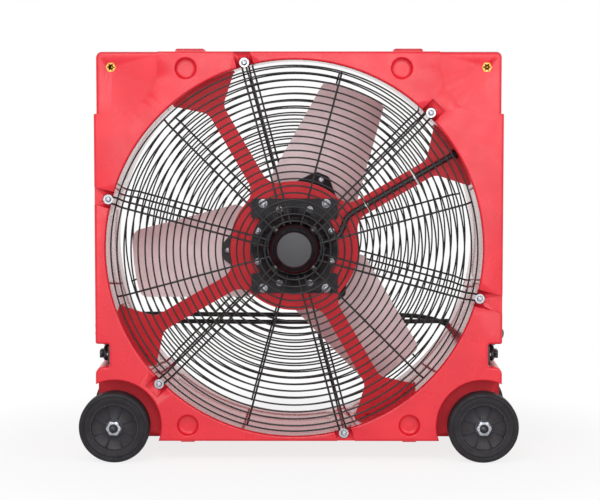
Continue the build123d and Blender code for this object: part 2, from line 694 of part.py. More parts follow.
def guard_washer():
    back = -2 * SPOKE_WIRE_RADIUS - SEAT
    return tube(GUARD_WASHER_RADIUS, GUARD_SCREW_RADIUS + SEAT, back - GUARD_WASHER_THICKNESS, back)


def guard_screw():
    under_head = -2 * SPOKE_WIRE_RADIUS - 2 * SEAT - GUARD_WASHER_THICKNESS
    screw = pan_screw(GUARD_SCREW_RADIUS, GUARD_SCREW_GRIP - under_head - SEAT, GUARD_SCREW_HEAD_RADIUS,
                      GUARD_SCREW_HEAD_HEIGHT)
    return Pos(0, under_head, 0) * screw


# ---- motor support ---------------------------------------------------------------------------
def support_outline():
    foot_start = BORE_RADIUS - SUPPORT_FOOT_LENGTH
    half = SUPPORT_LEG_WIDTH / 2
    half_foot = SUPPORT_FOOT_WIDTH / 2
    end = BORE_RADIUS + BEYOND
    outline = Circle(SUPPORT_RING_RADIUS)
    leg = Polygon((0, -half), (foot_start, -half), (BORE_RADIUS - 8, -half_foot), (end, -half_foot),
                  (end, half_foot), (BORE_RADIUS - 8, half_foot), (foot_start, half), (0, half), align=None)
    for side in (-1, 1):
        leg = fillet(at_vertex(leg, foot_start, side * half), SUPPORT_FOOT_ROUND)
    for angle in LEG_ANGLES:
        outline += Rot(0, 0, angle) * leg
    corners = [v for v in outline.vertices() if abs(hypot(v.X, v.Y) - SUPPORT_RING_RADIUS) < 1]
    outline = fillet(corners, SUPPORT_ROOT_ROUND)
    return (outline & Circle(BORE_RADIUS - SEAT)) - Circle(SUPPORT_RING_BORE)


def motor_support():
    plate = slab(support_outline(), SUPPORT_FRONT, SUPPORT_FRONT + SUPPORT_THICKNESS)
    wall = Circle(BORE_RADIUS - SEAT) - Circle(BORE_RADIUS - SEAT - SUPPORT_THICKNESS)
    strip = Pos(BORE_RADIUS, 0) * Rectangle(BORE_RADIUS, SUPPORT_FOOT_WIDTH)
    flange = slab(wall & strip, SUPPORT_FRONT, SUPPORT_FRONT + SUPPORT_FLANGE_DEPTH)
    for angle in LEG_ANGLES:
        plate += turned(flange, angle)
    for x, z in mount_screw_places():
        plate -= Pos(x, 0, z) * rod(MOUNT_SCREW_RADIUS + THREAD_FIT, SUPPORT_FRONT - BEYOND,
                                    SUPPORT_FRONT + SUPPORT_THICKNESS + BEYOND)
    body = FAN_AXIS * plate
    for angle in LEG_ANGLES:
        for hole in flange_bolt_places(angle, rod(FLANGE_BOLT_RADIUS + SEAT, -3 * BEYOND, BEYOND)):
            body -= hole
    return body


def flange_bolt_places(angle, part):
    """Copies of a piece, given along Y with the duct wall at depth 0, at the bolts of one leg."""
    pointing_out = Rot(0, 0, -90) * part
    places = []
    for side in (-1, 1):
        swing = degrees(asin(FLANGE_BOLT_SPACING / 2 / BORE_RADIUS)) * side
        placed = Pos(BORE_RADIUS, SUPPORT_FRONT + SUPPORT_FLANGE_DEPTH * 0.55, 0) * pointing_out
        places.append(FAN_AXIS * turned(placed, angle + swing))
    return places


def support_bolts():
    head = slab(hexagon(2 * FLANGE_BOLT_HEAD_RADIUS * HEX_FLAT), -FLANGE_BOLT_HEAD_HEIGHT, 0)
    bolt = head + rod(FLANGE_BOLT_RADIUS, -1, FLANGE_BOLT_GRIP)
    under_head = SUPPORT_THICKNESS + 2 * SEAT + FLANGE_BOLT_HEAD_RADIUS ** 2 / (2 * BORE_RADIUS)
    placed = Pos(0, -under_head, 0) * bolt
    return [one for angle in LEG_ANGLES for one in flange_bolt_places(angle, placed)]


# ---- motor -----------------------------------------------------------------------------------
def mount_screw_places():
    half_x = MOUNT_PLATE_WIDTH / 2 - MOUNT_SCREW_FROM_SIDE
    half_z = MOUNT_PLATE_HEIGHT / 2 - MOUNT_SCREW_FROM_TOP
    return [(sx * half_x, sz * half_z) for sx in (-1, 1) for sz in (-1, 1)]


def at_motor_screws(part):
    """Copies of a piece, given round the Y axis, at every screw of the motor's flange."""
    step = 360 / MOTOR_SCREW_COUNT
    placed = Pos(MOTOR_SCREW_CIRCLE, 0, 0) * part
    return [turned(placed, step * (i + 0.5)) for i in range(MOTOR_SCREW_COUNT)]


def motor_mount_plate():
    outline = Rectangle(MOUNT_PLATE_WIDTH, MOUNT_PLATE_HEIGHT)
    notch_depth = (MOUNT_PLATE_WIDTH - MOUNT_WAIST_WIDTH) / 2
    notch_height = MOUNT_PLATE_HEIGHT - 2 * MOUNT_LUG_HEIGHT
    for side in (-1, 1):
        outline -= Pos(side * (MOUNT_PLATE_WIDTH - notch_depth) / 2, 0) * Rectangle(notch_depth, notch_height)
    outline = fillet(outline.vertices(), MOUNT_CORNER_ROUND)
    outline -= Circle(MOTOR_RADIUS + SEAT)
    for x, z in mount_screw_places():
        outline -= Pos(x, z) * Circle(MOUNT_SCREW_RADIUS + THREAD_FIT)
    plate = slab(outline, MOUNT_PLATE_FRONT, SUPPORT_FRONT - SEAT)
    for hole in at_motor_screws(rod(MOTOR_SCREW_RADIUS + THREAD_FIT, FLANGE_FRONT, SUPPORT_FRONT)):
        plate -= hole
    return FAN_AXIS * plate


def mount_plate_screws():
    head = Pos(0, MOUNT_PLATE_FRONT - SEAT, 0) * pan_screw(
        MOUNT_SCREW_RADIUS, MOUNT_PLATE_THICKNESS + SUPPORT_THICKNESS + SEAT + 4, MOUNT_SCREW_HEAD_RADIUS,
        MOUNT_SCREW_HEAD_HEIGHT)
    return [FAN_AXIS * Pos(x, 0, z) * head for x, z in mount_screw_places()]


def motor_screws():
    grip = MOTOR_FLANGE_THICKNESS + MOUNT_PLATE_THICKNESS - 1
    screw = pan_screw(MOTOR_SCREW_RADIUS, grip, MOTOR_SCREW_HEAD_RADIUS, MOTOR_SCREW_HEAD_HEIGHT)
    return [FAN_AXIS * one for one in at_motor_screws(Pos(0, FLANGE_FRONT - 2 * SEAT, 0) * screw)]


def motor_body():
    shell = tube(MOTOR_RADIUS, MOTOR_RADIUS - MOTOR_WALL, MOTOR_FRONT, MOTOR_REAR)
    shell += tube(MOTOR_FLANGE_RADIUS, MOTOR_RADIUS - 1, FLANGE_FRONT, MOUNT_PLATE_FRONT - SEAT)
    shell += tube(MOTOR_RADIUS - 1, SHAFT_RADIUS + 1.5, MOTOR_REAR - MOTOR_END_WALL, MOTOR_REAR)
    seat_wall = BEARING_RADIUS + SEAT
    end_wall = MOTOR_REAR - MOTOR_END_WALL
    shell += tube(seat_wall + BEARING_SEAT_WALL, seat_wall, end_wall - BEARING_WIDTH, end_wall + 1)
    rib_middle = MOTOR_RADIUS + MOTOR_RIB_HEIGHT / 2 - 0.5
    outline = Pos(rib_middle, 0) * Rectangle(MOTOR_RIB_HEIGHT + 1, MOTOR_RIB_THICKNESS)
    rib = slab(outline, MOTOR_FRONT + MOTOR_RIB_SET_BACK, FLANGE_FRONT + 1)
    for i in range(MOTOR_RIB_COUNT):
        shell += turned(rib, 360 / MOTOR_RIB_COUNT * i)
    screw_hole = rod(MOTOR_SCREW_RADIUS + THREAD_FIT, FLANGE_FRONT - BEYOND, MOUNT_PLATE_FRONT)
    for hole in at_motor_screws(screw_hole):
        shell -= hole
    return FAN_AXIS * shell


def stator_core():
    outer = MOTOR_RADIUS - MOTOR_WALL - SEAT
    return FAN_AXIS * tube(outer, STATOR_BORE, STATOR_REAR - STATOR_LENGTH, STATOR_REAR)


def stator_windings():
    outer = MOTOR_RADIUS - MOTOR_WALL - WINDING_INSET
    mid = (outer + WINDING_BORE) / 2
    coils = []
    for back in (STATOR_REAR - STATOR_LENGTH - SEAT, STATOR_REAR + WINDING_LENGTH + SEAT):
        ring = Pos(mid, back - WINDING_LENGTH / 2) * RectangleRounded(outer - WINDING_BORE, WINDING_LENGTH, 5)
        coils.append(FAN_AXIS * lathe(ring))
    return coils


def motor_bearings():
    front = MOTOR_FRONT - 2
    rear = MOTOR_REAR - MOTOR_END_WALL - BEARING_WIDTH
    return [FAN_AXIS * tube(BEARING_RADIUS, SHAFT_RADIUS + RUNNING_FIT, y, y + BEARING_WIDTH - SEAT)
            for y in (front, rear)]


def motor_cap():
    """Front cover: a dome with a flat face, held on the motor by four arms."""
    back = MOTOR_FRONT + BEARING_WIDTH - 2
    outline = Polygon((0, CAP_FRONT), (CAP_FACE_RADIUS, CAP_FRONT), (CAP_FACE_RADIUS + 1.5, CAP_FRONT + 1.5),
                      (CAP_RADIUS - 4, CAP_FRONT + 9), (CAP_RADIUS, MOTOR_FRONT - 8), (CAP_RADIUS, back),
                      (CAP_RADIUS - CAP_WALL, back), (CAP_RADIUS - CAP_WALL, MOTOR_FRONT - 8),
                      (CAP_FACE_RADIUS - 1, CAP_FRONT + CAP_WALL), (0, CAP_FRONT + CAP_WALL), align=None)
    outline = fillet(at_vertex(outline, CAP_RADIUS - 4, CAP_FRONT + 9), 6)
    cap = lathe(outline)
    seat_wall = BEARING_RADIUS + SEAT
    cap += tube(seat_wall + BEARING_SEAT_WALL, seat_wall, CAP_FRONT + CAP_WALL - 1, back)
    arm_end = MOTOR_RADIUS - 1
    outline = Pos((CAP_RADIUS + arm_end) / 2 - 1, 0) * Rectangle(arm_end - CAP_RADIUS + 2, CAP_ARM_WIDTH)
    arm = slab(outline, MOTOR_FRONT - CAP_ARM_THICKNESS, MOTOR_FRONT - SEAT)
    for i in range(CAP_ARM_COUNT):
        cap += turned(arm, 360 / CAP_ARM_COUNT * (i + 0.5))
    return FAN_AXIS * cap


# ---- impeller --------------------------------------------------------------------------------
def between(station, at_root, at_tip):
    """A blade size at one radius, straight-line between root and tip."""
    share = (station - BLADE_ROOT_STATION) / (BLADE_TIP_STATION - BLADE_ROOT_STATION)
    return at_root + (at_tip - at_root) * share


def blade_depth(station, across):
    """Depth of the blade's front face at a radius and a distance across the blade."""
    left = between(station, BLADE_ROOT_LEFT, BLADE_TIP_LEFT)
    right = between(station, BLADE_ROOT_RIGHT, BLADE_TIP_RIGHT)
    share = (left - across) / (left + right)
    rise = between(station, BLADE_RISE_ROOT, BLADE_RISE_TIP)
    return between(station, BLADE_LEAD_ROOT, BLADE_LEAD_TIP) + rise * (share + share ** 3) / 2


def blade_sheet(start, end, shift, thickness, half_width=105, steps=8):
    """A sheet that follows the blade's twist from one radius to another, shift behind its front face."""
    sections = []
    for station in (start, end):
        across = [half_width - 2 * half_width * i / steps for i in range(steps + 1)]
        front = [(a, blade_depth(station, a) + shift) for a in across]
        back = [(a, y + thickness) for a, y in front]
        edges = Spline(front) + Line(front[-1], back[-1]) + Spline(back[::-1]) + Line(back[0], front[0])
        face = make_face(edges)
        sections.append(Plane(origin=(station, 0, 0), x_dir=(0, 0, 1), z_dir=(-1, 0, 0)) * face)
    return loft(sections, ruled=True)


def blade_outline():
    tip = BORE_RADIUS - TIP_GAP
    root, far = BLADE_ROOT_RADIUS, tip + BEYOND
    corners = [(root, between(root, BLADE_ROOT_LEFT, BLADE_TIP_LEFT) * 0.8),
               (BLADE_ROOT_STATION, BLADE_ROOT_LEFT),
               (far, between(far, BLADE_ROOT_LEFT, BLADE_TIP_LEFT)),
               (far, -between(far, BLADE_ROOT_RIGHT, BLADE_TIP_RIGHT)),
               (BLADE_ROOT_STATION, -BLADE_ROOT_RIGHT),
               (root, -between(root, BLADE_ROOT_RIGHT, BLADE_TIP_RIGHT) * 0.8)]
    outline = Polygon(*corners, align=None) & Circle(tip)
    return fillet(outline.vertices(), BLADE_CORNER_ROUND)


def blade_screw_places(part):
    """Copies of a piece, given along Y with the blade's front face at depth 0, at one blade's screws."""
    placed = []
    for station, across in BLADE_SCREW_PLACES:
        slope = (blade_depth(station, across - 1) - blade_depth(station, across + 1)) / 2
        place = Pos(station, blade_depth(station, across), across) * Rot(degrees(atan(slope)), 0, 0)
        placed.append(place * part)
    return placed


def at_blade(part, number):
    return FAN_AXIS * turned(part, BLADE_ANGLE + 360 / BLADE_COUNT * number)


def blade():
    tip = BORE_RADIUS - TIP_GAP
    sheet = blade_sheet(BLADE_ROOT_RADIUS - BEYOND, tip + BEYOND, 0, BLADE_THICKNESS)
    body = sheet & slab(blade_outline(), -FACE, FACE)
    for hole in blade_screw_places(rod(BLADE_SCREW_RADIUS + THREAD_FIT, -4 * BEYOND, 4 * BEYOND)):
        body -= hole
    return body


def hub_arm():
    half_root, half_tip = HUB_ARM_ROOT_WIDTH / 2, HUB_ARM_TIP_WIDTH / 2
    outline = Polygon((0, -half_root), (HUB_ARM_TAPER_START, -half_root), (HUB_ARM_REACH, -half_tip),
                      (HUB_ARM_REACH, half_tip), (HUB_ARM_TAPER_START, half_root), (0, half_root), align=None)
    for side in (-1, 1):
        outline = fillet(at_vertex(outline, HUB_ARM_REACH, side * half_tip), half_tip * 0.8)
        outline = fillet(at_vertex(outline, HUB_ARM_TAPER_START, side * half_root), half_tip)
    sheet = blade_sheet(HUB_RADIUS * 0.6, HUB_ARM_REACH + BEYOND, -HUB_ARM_THICKNESS - SEAT,
                        HUB_ARM_THICKNESS)
    arm = sheet & slab(outline, -FACE, FACE)
    for hole in blade_screw_places(rod(BLADE_SCREW_RADIUS + THREAD_FIT, -4 * BEYOND, 4 * BEYOND)):
        arm -= hole
    return arm


def impeller_hub():
    boss = tube(HUB_RADIUS, SHAFT_RADIUS + SEAT, HUB_FRONT, HUB_REAR)
    hub = FAN_AXIS * boss
    bore = FAN_AXIS * rod(SHAFT_RADIUS + SEAT, HUB_FRONT - BEYOND, HUB_REAR + BEYOND)
    for number in range(BLADE_COUNT):
        hub += at_blade(hub_arm(), number)
    return hub - bore


def blade_screws():
    under_head = -HUB_ARM_THICKNESS - 3 * SEAT
    grip = HUB_ARM_THICKNESS + BLADE_THICKNESS + 5
    screw = Pos(0, under_head, 0) * pan_screw(BLADE_SCREW_RADIUS, grip, BLADE_SCREW_HEAD_RADIUS,
                                               BLADE_SCREW_HEAD_HEIGHT)
    return [at_blade(one, number) for number in range(BLADE_COUNT) for one in blade_screw_places(screw)]


def motor_shaft():
    return FAN_AXIS * rod(SHAFT_RADIUS, MOTOR_FRONT - 2, HUB_REAR - SEAT)


def rotor_core():
    gap = STATOR_BORE - AIR_GAP
    return FAN_AXIS * tube(gap, SHAFT_RADIUS + SEAT, STATOR_REAR - STATOR_LENGTH, STATOR_REAR)


def hub_washer():
    return FAN_AXIS * tube(HUB_WASHER_RADIUS, HUB_BOLT_RADIUS + SEAT, HUB_REAR + SEAT,
                           HUB_REAR + SEAT + HUB_WASHER_THICKNESS)


def hub_bolt():
    under_head = HUB_REAR + HUB_WASHER_THICKNESS + 2 * SEAT
    head = slab(hexagon(2 * HUB_BOLT_HEAD_RADIUS * HEX_FLAT), under_head, under_head + HUB_BOLT_HEAD_HEIGHT)
    return FAN_AXIS * (head + rod(HUB_BOLT_RADIUS, HUB_REAR, under_head + 1))


# ---- motor lead ------------------------------------------------------------------------------
def cable_path(points):
    """Straight runs joined by arcs as large as the runs allow."""
    radii = []
    for before, corner, after in zip(points, points[1:], points[2:]):
        arriving, leaving = Vector(*corner) - Vector(*before), Vector(*after) - Vector(*corner)
        turn = radians(arriving.get_angle(leaving))
        radii.append(0.45 * min(arriving.length, leaving.length) / tan(turn / 2))
    return FilletPolyline(*points, radius=radii), radii


def lead_depth():
    """The lead's middle where it lies on the front of a leg."""
    return SUPPORT_FRONT - LEAD_RADIUS - SEAT


def at_lead_exit(part):
    """A piece given round the X axis, pointing out of the motor's side at the lead."""
    return FAN_AXIS * turned(Pos(MOTOR_RADIUS, LEAD_EXIT_DEPTH, 0) * part, LEAD_EXIT_ANGLE)


def along_leg(part, distance=0):
    """A piece given round the X axis, laid on the middle of the upper right leg."""
    return FAN_AXIS * turned(Pos(distance, lead_depth(), 0) * part, SUPPORT_LEG_ANGLE)


def motor_lead():
    """From the motor's right side round onto the upper right leg, and along it into the duct wall."""
    exit_turn, leg_turn = radians(LEAD_EXIT_ANGLE), radians(SUPPORT_LEG_ANGLE)
    points = [(reach * cos(exit_turn), LEAD_EXIT_DEPTH, reach * sin(exit_turn))
              for reach in (MOTOR_RADIUS + SEAT, MOTOR_RADIUS + LEAD_EXIT_RUN)]
    points += [(reach * cos(leg_turn), lead_depth(), reach * sin(leg_turn))
               for reach in (LEAD_LEG_START, BORE_RADIUS + LEAD_GRIP)]
    path, radii = cable_path(points)
    print("motor lead arc radii", [round(radius, 1) for radius in radii])
    return FAN_AXIS * wire(path, LEAD_RADIUS)


def rod_x(radius, start, end):
    """A cylinder round the X axis."""
    return Pos((start + end) / 2, 0, 0) * Rot(0, 90, 0) * Cylinder(radius, end - start)


def lead_gland():
    bore = LEAD_RADIUS + SEAT
    outer = rod_x(bore + LEAD_GLAND_WALL, 2 * SEAT, LEAD_GLAND_LENGTH)
    return at_lead_exit(outer - rod_x(bore, -BEYOND, LEAD_GLAND_LENGTH + BEYOND))


def cable_ties():
    """Each tie runs behind the leg and over the lead."""
    leg_middle = SUPPORT_FRONT + SUPPORT_THICKNESS / 2
    leg_section = Pos(leg_middle - lead_depth(), 0) * Rectangle(SUPPORT_THICKNESS + 2 * SEAT,
                                                                SUPPORT_LEG_WIDTH + 2 * SEAT)
    inside = make_hull(leg_section.edges() + Circle(LEAD_RADIUS + SEAT).edges())
    band = offset(inside, TIE_THICKNESS) - inside
    section = Plane(origin=(0, 0, 0), x_dir=(0, 1, 0), z_dir=(1, 0, 0))
    tie = extrude(section * band, amount=TIE_WIDTH / 2, both=True)
    return [along_leg(tie, place) for place in TIE_PLACES]


def sleeve_radius():
    return LEAD_RADIUS + SEAT + GROMMET_SLEEVE_WALL


def lead_grommet():
    """Grommet in the duct wall, its flange cut straight where it meets the foot of the leg."""
    seat = BORE_RADIUS - GROMMET_RADIUS ** 2 / (2 * BORE_RADIUS) - SEAT
    body = rod_x(GROMMET_RADIUS, seat - GROMMET_THICKNESS, seat)
    body += rod_x(sleeve_radius(), seat - 1, seat + GROMMET_SLEEVE_LENGTH)
    body -= rod_x(LEAD_RADIUS + SEAT, seat - 2 * GROMMET_THICKNESS, seat + 2 * GROMMET_SLEEVE_LENGTH)
    foot = Box(2 * BEYOND, GROMMET_RADIUS, 2 * GROMMET_RADIUS, align=(Align.MAX, Align.MIN, Align.CENTER))
    return along_leg(body - Pos(BORE_RADIUS, SUPPORT_FRONT - SEAT - lead_depth(), 0) * foot)


def lead_hole():
    return along_leg(rod_x(sleeve_radius() + SEAT, BORE_RADIUS - 2 * BEYOND, BORE_RADIUS + LEAD_GRIP + 1))


# ---- control box -----------------------------------------------------------------------------
def box_place():
    x = HALF_WIDTH - SWITCH_BOX_FROM_SIDE - SWITCH_BOX_WIDTH / 2
    return x, AXIS_Z + SWITCH_BOX_ABOVE_AXIS + SWITCH_BOX_HEIGHT / 2


def box_base():
    """Depth of the recess floor that the control box stands on."""
    return FACE - SWITCH_RECESS_DEPTH


def switch_box():
    """Hollow cover on the rear face, open towards the housing."""
    x, z = box_place()
    width, height = SWITCH_BOX_WIDTH, SWITCH_BOX_HEIGHT
    inner_depth = SWITCH_BOX_DEPTH - SWITCH_BOX_WALL
    shell = slab(RectangleRounded(width, height, SWITCH_BOX_ROUND), SEAT, SWITCH_BOX_DEPTH)
    shell = fillet(shell.edges().group_by(Axis.Y)[-1], SWITCH_BOX_WALL * 0.7)
    shell -= slab(RectangleRounded(width - 2 * SWITCH_BOX_WALL, height - 2 * SWITCH_BOX_WALL,
                                   SWITCH_BOX_ROUND - SWITCH_BOX_WALL * 0.6), -BEYOND, inner_depth)
    shell -= Pos(0, 0, KNOB_ABOVE_CENTRE) * rod(KNOB_STEM_RADIUS + RUNNING_CLEARANCE, 0,
                                                SWITCH_BOX_DEPTH + BEYOND)
    gland_hole = Cylinder(gland_neck_radius() + SEAT, 4 * SWITCH_BOX_WALL)
    return Pos(x, box_base(), z) * (shell - Pos(0, GLAND_OFFSET, -height / 2) * gland_hole)


def switch_unit():
    x, z = box_place()
    back = SWITCH_BOX_DEPTH - SWITCH_BOX_WALL - SEAT
    body = slab(RectangleRounded(SWITCH_UNIT_SIZE, SWITCH_UNIT_SIZE, 2), back - SWITCH_UNIT_DEPTH, back)
    body -= rod(KNOB_STEM_RADIUS + RUNNING_FIT, back - SWITCH_UNIT_DEPTH / 2, back + BEYOND)
    return Pos(x, box_base(), z + KNOB_ABOVE_CENTRE) * body


def switch_knob():
    """Turning knob with a raised grip across it."""
    x, z = box_place()
    base = SWITCH_BOX_DEPTH + RUNNING_CLEARANCE
    rim = rod(KNOB_RADIUS, base, base + KNOB_HEIGHT * KNOB_RIM_SHARE)
    grip = slab(RectangleRounded(KNOB_GRIP_WIDTH, 2 * (KNOB_RADIUS - KNOB_GRIP_INSET), KNOB_GRIP_ROUND), base,
                base + KNOB_HEIGHT)
    stem_start = SWITCH_BOX_DEPTH - SWITCH_BOX_WALL - SWITCH_UNIT_DEPTH / 2 + RUNNING_CLEARANCE
    stem = rod(KNOB_STEM_RADIUS, stem_start, base + 1)
    return Pos(x, box_base(), z + KNOB_ABOVE_CENTRE) * (rim + grip + stem)


def gland_neck_radius():
    return CORD_RADIUS + GLAND_WALL


def gland_place():
    """Where the gland's middle line passes the underside of the box."""
    x, z = box_place()
    return x, box_base() + GLAND_OFFSET, z - SWITCH_BOX_HEIGHT / 2


def gland_mouth():
    """Height at which the cord leaves the gland."""
    return gland_place()[2] - GLAND_LENGTH


def cord_gland():
    """Gland in the underside of the control box, pointing down."""
    cone_length = GLAND_LENGTH - GLAND_NUT_LENGTH
    nut = Pos(0, 0, -SEAT) * extrude(hexagon(2 * GLAND_RADIUS * HEX_FLAT), amount=-GLAND_NUT_LENGTH)
    cone = Pos(0, 0, cone_length / 2 - GLAND_LENGTH) * Cone(gland_neck_radius(), gland_neck_radius() + 1,
                                                            cone_length)
    neck = Cylinder(gland_neck_radius(), 2 * SWITCH_BOX_WALL + 2)
    bore = Cylinder(CORD_RADIUS + SEAT, 3 * GLAND_LENGTH)
    return Pos(*gland_place()) * (nut + cone + neck - bore)


# ---- cable hooks -----------------------------------------------------------------------------
def hook_height():
    return GROOVE_ABOVE_FLOOR + GROOVE_HEIGHT / 2


def at_hooks(part):
    """A piece given round the X axis from the groove floor outwards, on both sides."""
    right = Pos(HALF_WIDTH - GROOVE_DEPTH, -FACE + HOOK_FROM_FRONT, hook_height()) * part
    return [mirror(right, Plane.YZ), right]


def hook_screw_places(part):
    return [Pos(0, side * HOOK_SCREW_SPACING / 2, 0) * part for side in (-1, 1)]


def cable_hooks():
    post_end = HOOK_BASE_THICKNESS + HOOK_POST_LENGTH
    base = Box(HOOK_BASE_THICKNESS, HOOK_BASE_LENGTH, HOOK_BASE_HEIGHT)
    base = fillet(base.edges().filter_by(Axis.X), HOOK_CORNER_ROUND)
    base = Pos(SEAT + HOOK_BASE_THICKNESS / 2, 0, 0) * base
    post = rod_x(HOOK_POST_RADIUS, 1, post_end + 1)
    head = Box(HOOK_HEAD_THICKNESS, HOOK_HEAD_LENGTH, HOOK_HEAD_HEIGHT)
    head = fillet(head.edges().filter_by(Axis.X), HOOK_CORNER_ROUND)
    head = Pos(post_end + HOOK_HEAD_THICKNESS / 2, 0, 0) * head
    hook = base + post + head
    for hole in hook_screw_places(rod_x(HOOK_SCREW_RADIUS + THREAD_FIT, -BEYOND, HOOK_BASE_THICKNESS + 2)):
        hook -= hole
    return at_hooks(hook)


def hook_screws():
    screw = Rot(0, 0, 90) * pan_screw(HOOK_SCREW_RADIUS, HOOK_SCREW_GRIP, HOOK_SCREW_HEAD_RADIUS,
                                      HOOK_SCREW_HEAD_HEIGHT)
    placed = hook_screw_places(Pos(HOOK_BASE_THICKNESS + 2 * SEAT, 0, 0) * screw)
    return [one for screw in placed for one in at_hooks(screw)]


def hook_screw_holes():
    grip = HOOK_SCREW_GRIP - HOOK_BASE_THICKNESS + 1
    holes = hook_screw_places(rod_x(HOOK_SCREW_RADIUS + THREAD_FIT, -grip, 1))
    return [one for hole in holes for one in at_hooks(hole)]


# ---- power cord ------------------------------------------------------------------------------
def cord_strands():
    """Heights of the two strands that lie in a groove, above and below the hook's post."""
    turn = HOOK_POST_RADIUS + CORD_RADIUS + CORD_HOOK_GAP
    return hook_height() + turn, hook_height() - turn


def groove_strand(side, height, rear_height):
    """From the hook back along a side groove, and in a loose bulge round the rear corner."""
    line = HALF_WIDTH - GROOVE_DEPTH + CORD_GROOVE_OUT
    turn = -FACE + HOOK_FROM_FRONT - (HOOK_POST_RADIUS + CORD_RADIUS + CORD_HOOK_GAP)
    corner = FACE + CORD_CORNER_REACH
    rise = rear_height - height
    places = [(0, turn, 0), (0, turn + 58, 0), (1, turn + 118, 0.02), (9, FACE - 86, 0.05),
              (CORD_SWING_OUT * 0.75, FACE - 40, 0.2), (CORD_SWING_OUT, FACE - 4, 0.5),
              (CORD_SWING_OUT * 0.8, corner, 0.78), (2, corner + 20, 1)]
    return [(side * (line + out), depth, height + rise * share) for out, depth, share in places]


def cord_drop():
    """From the gland down behind the right edge, and out round the rear corner into the groove."""
    x, y, _ = gland_place()
    mouth = gland_mouth()
    upper = cord_strands()[0]
    return [(x, y, mouth + 4), (x + 0.5, y + 0.5, mouth - 50), (x + 3, y + 5, mouth - 120),
            (x + 14, FACE + 23, upper + 105), (HALF_WIDTH + 3, FACE + 27, upper + 56),
            (HALF_WIDTH + 23, FACE + 7, upper + 22), (HALF_WIDTH + 19, FACE - 33, upper + 7),
            (HALF_WIDTH - 4, FACE - 83, upper + 1.5)]


def rear_crossing(side, height, depth):
    """Across the back from one side to the other, sagging a little, behind the guard."""
    near = behind_guard_depth() + depth
    return [(side * out, near + swing, height + rise) for out, swing, rise in
            ((288, 4, 1.6), (160, 0.8, 0.6), (30, 0, 0), (-100, 0.4, 0.2), (-226, 2.4, 1.4))]


def behind_guard_depth():
    return FACE + GUARD_STAND_OFF + RING_WIRE_RADIUS + CORD_RADIUS + CORD_HOOK_GAP


def plug_place():
    """Where the cord enters the plug, and the point of the route before it."""
    return (306, FACE + 59.5, 164), (304, FACE + 58, 199)


def cord_points():
    upper, lower = cord_strands()
    low_bar, high_bar = hook_height() + 24, hook_height() + 37
    entry, above = plug_place()
    points = cord_drop() + groove_strand(1, upper, upper)[2::-1]
    points += groove_strand(1, lower, low_bar) + rear_crossing(1, low_bar, 0)
    points += groove_strand(-1, lower, low_bar - 1)[::-1]
    points += groove_strand(-1, upper, high_bar) + rear_crossing(-1, high_bar, 10)[:-1]
    return points + [(205, FACE + 47, high_bar - 1), (262, FACE + 54, high_bar - 8), above, entry]


def power_cord():
    path, radii = cable_path(cord_points())
    print("power cord arc radii", [round(radius) for radius in radii])
    print("power cord points", [tuple(round(float(value), 1) for value in point) for point in cord_points()])
    cord = wire(path, CORD_RADIUS)
    print("power cord length", round(path.length), "volume ratio",
          round(cord.volume / (pi * CORD_RADIUS ** 2 * path.length), 4))
    return cord


def at_plug(part):
    """A piece given along Z from the cord's end, laid on the cord's last run."""
    entry, above = plug_place()
    return Plane(origin=entry, x_dir=(1, 0, 0), z_dir=Vector(*entry) - Vector(*above)) * part


def power_plug():
    face_radius = PLUG_RADIUS * PLUG_FACE_SHARE
    boot = Pos(0, 0, PLUG_BOOT_LENGTH / 2) * Cone(CORD_RADIUS + 1, PLUG_BOOT_RADIUS, PLUG_BOOT_LENGTH)
    body = Pos(0, 0, PLUG_BOOT_LENGTH + PLUG_LENGTH / 2 - 1) * Cone(face_radius, PLUG_RADIUS, PLUG_LENGTH)
    body = fillet(body.edges(), PLUG_ROUND)
    plug = body + boot
    for pin in pin_solids(SEAT):
        plug -= pin
    return at_plug(plug)


def pin_solids(gap):
    """Two flat pins and a round earth pin, each a gap larger all round."""
    face = PLUG_BOOT_LENGTH + PLUG_LENGTH - 1
    length = PIN_LENGTH + PIN_SET_IN
    middle = face - PIN_SET_IN + length / 2
    flat = Box(PIN_THICKNESS + 2 * gap, PIN_WIDTH + 2 * gap, length + 2 * gap)
    pins = [Pos(side * PIN_SPACING / 2, -2, middle) * flat for side in (-1, 1)]
    return pins + [Pos(0, EARTH_PIN_OFFSET - 4, middle) * Cylinder(EARTH_PIN_RADIUS + gap, length + 2 * gap)]


def plug_pins():
    return [at_plug(pin) for pin in pin_solids(0)]


# ---- write -----------------------------------------------------------------------------------
def placed_wheel(part, number):
    """A wheel piece, given midway through its own width with its outer face to the front."""
    side = (-1, 1)[number % 2]
    front = Pos(side * WHEEL_X, -WHEEL_Y, WHEEL_RADIUS) * part
    return front if number < 2 else behind(front)


WHEEL_NAMES = ("front_left", "front_right", "rear_left", "rear_right")


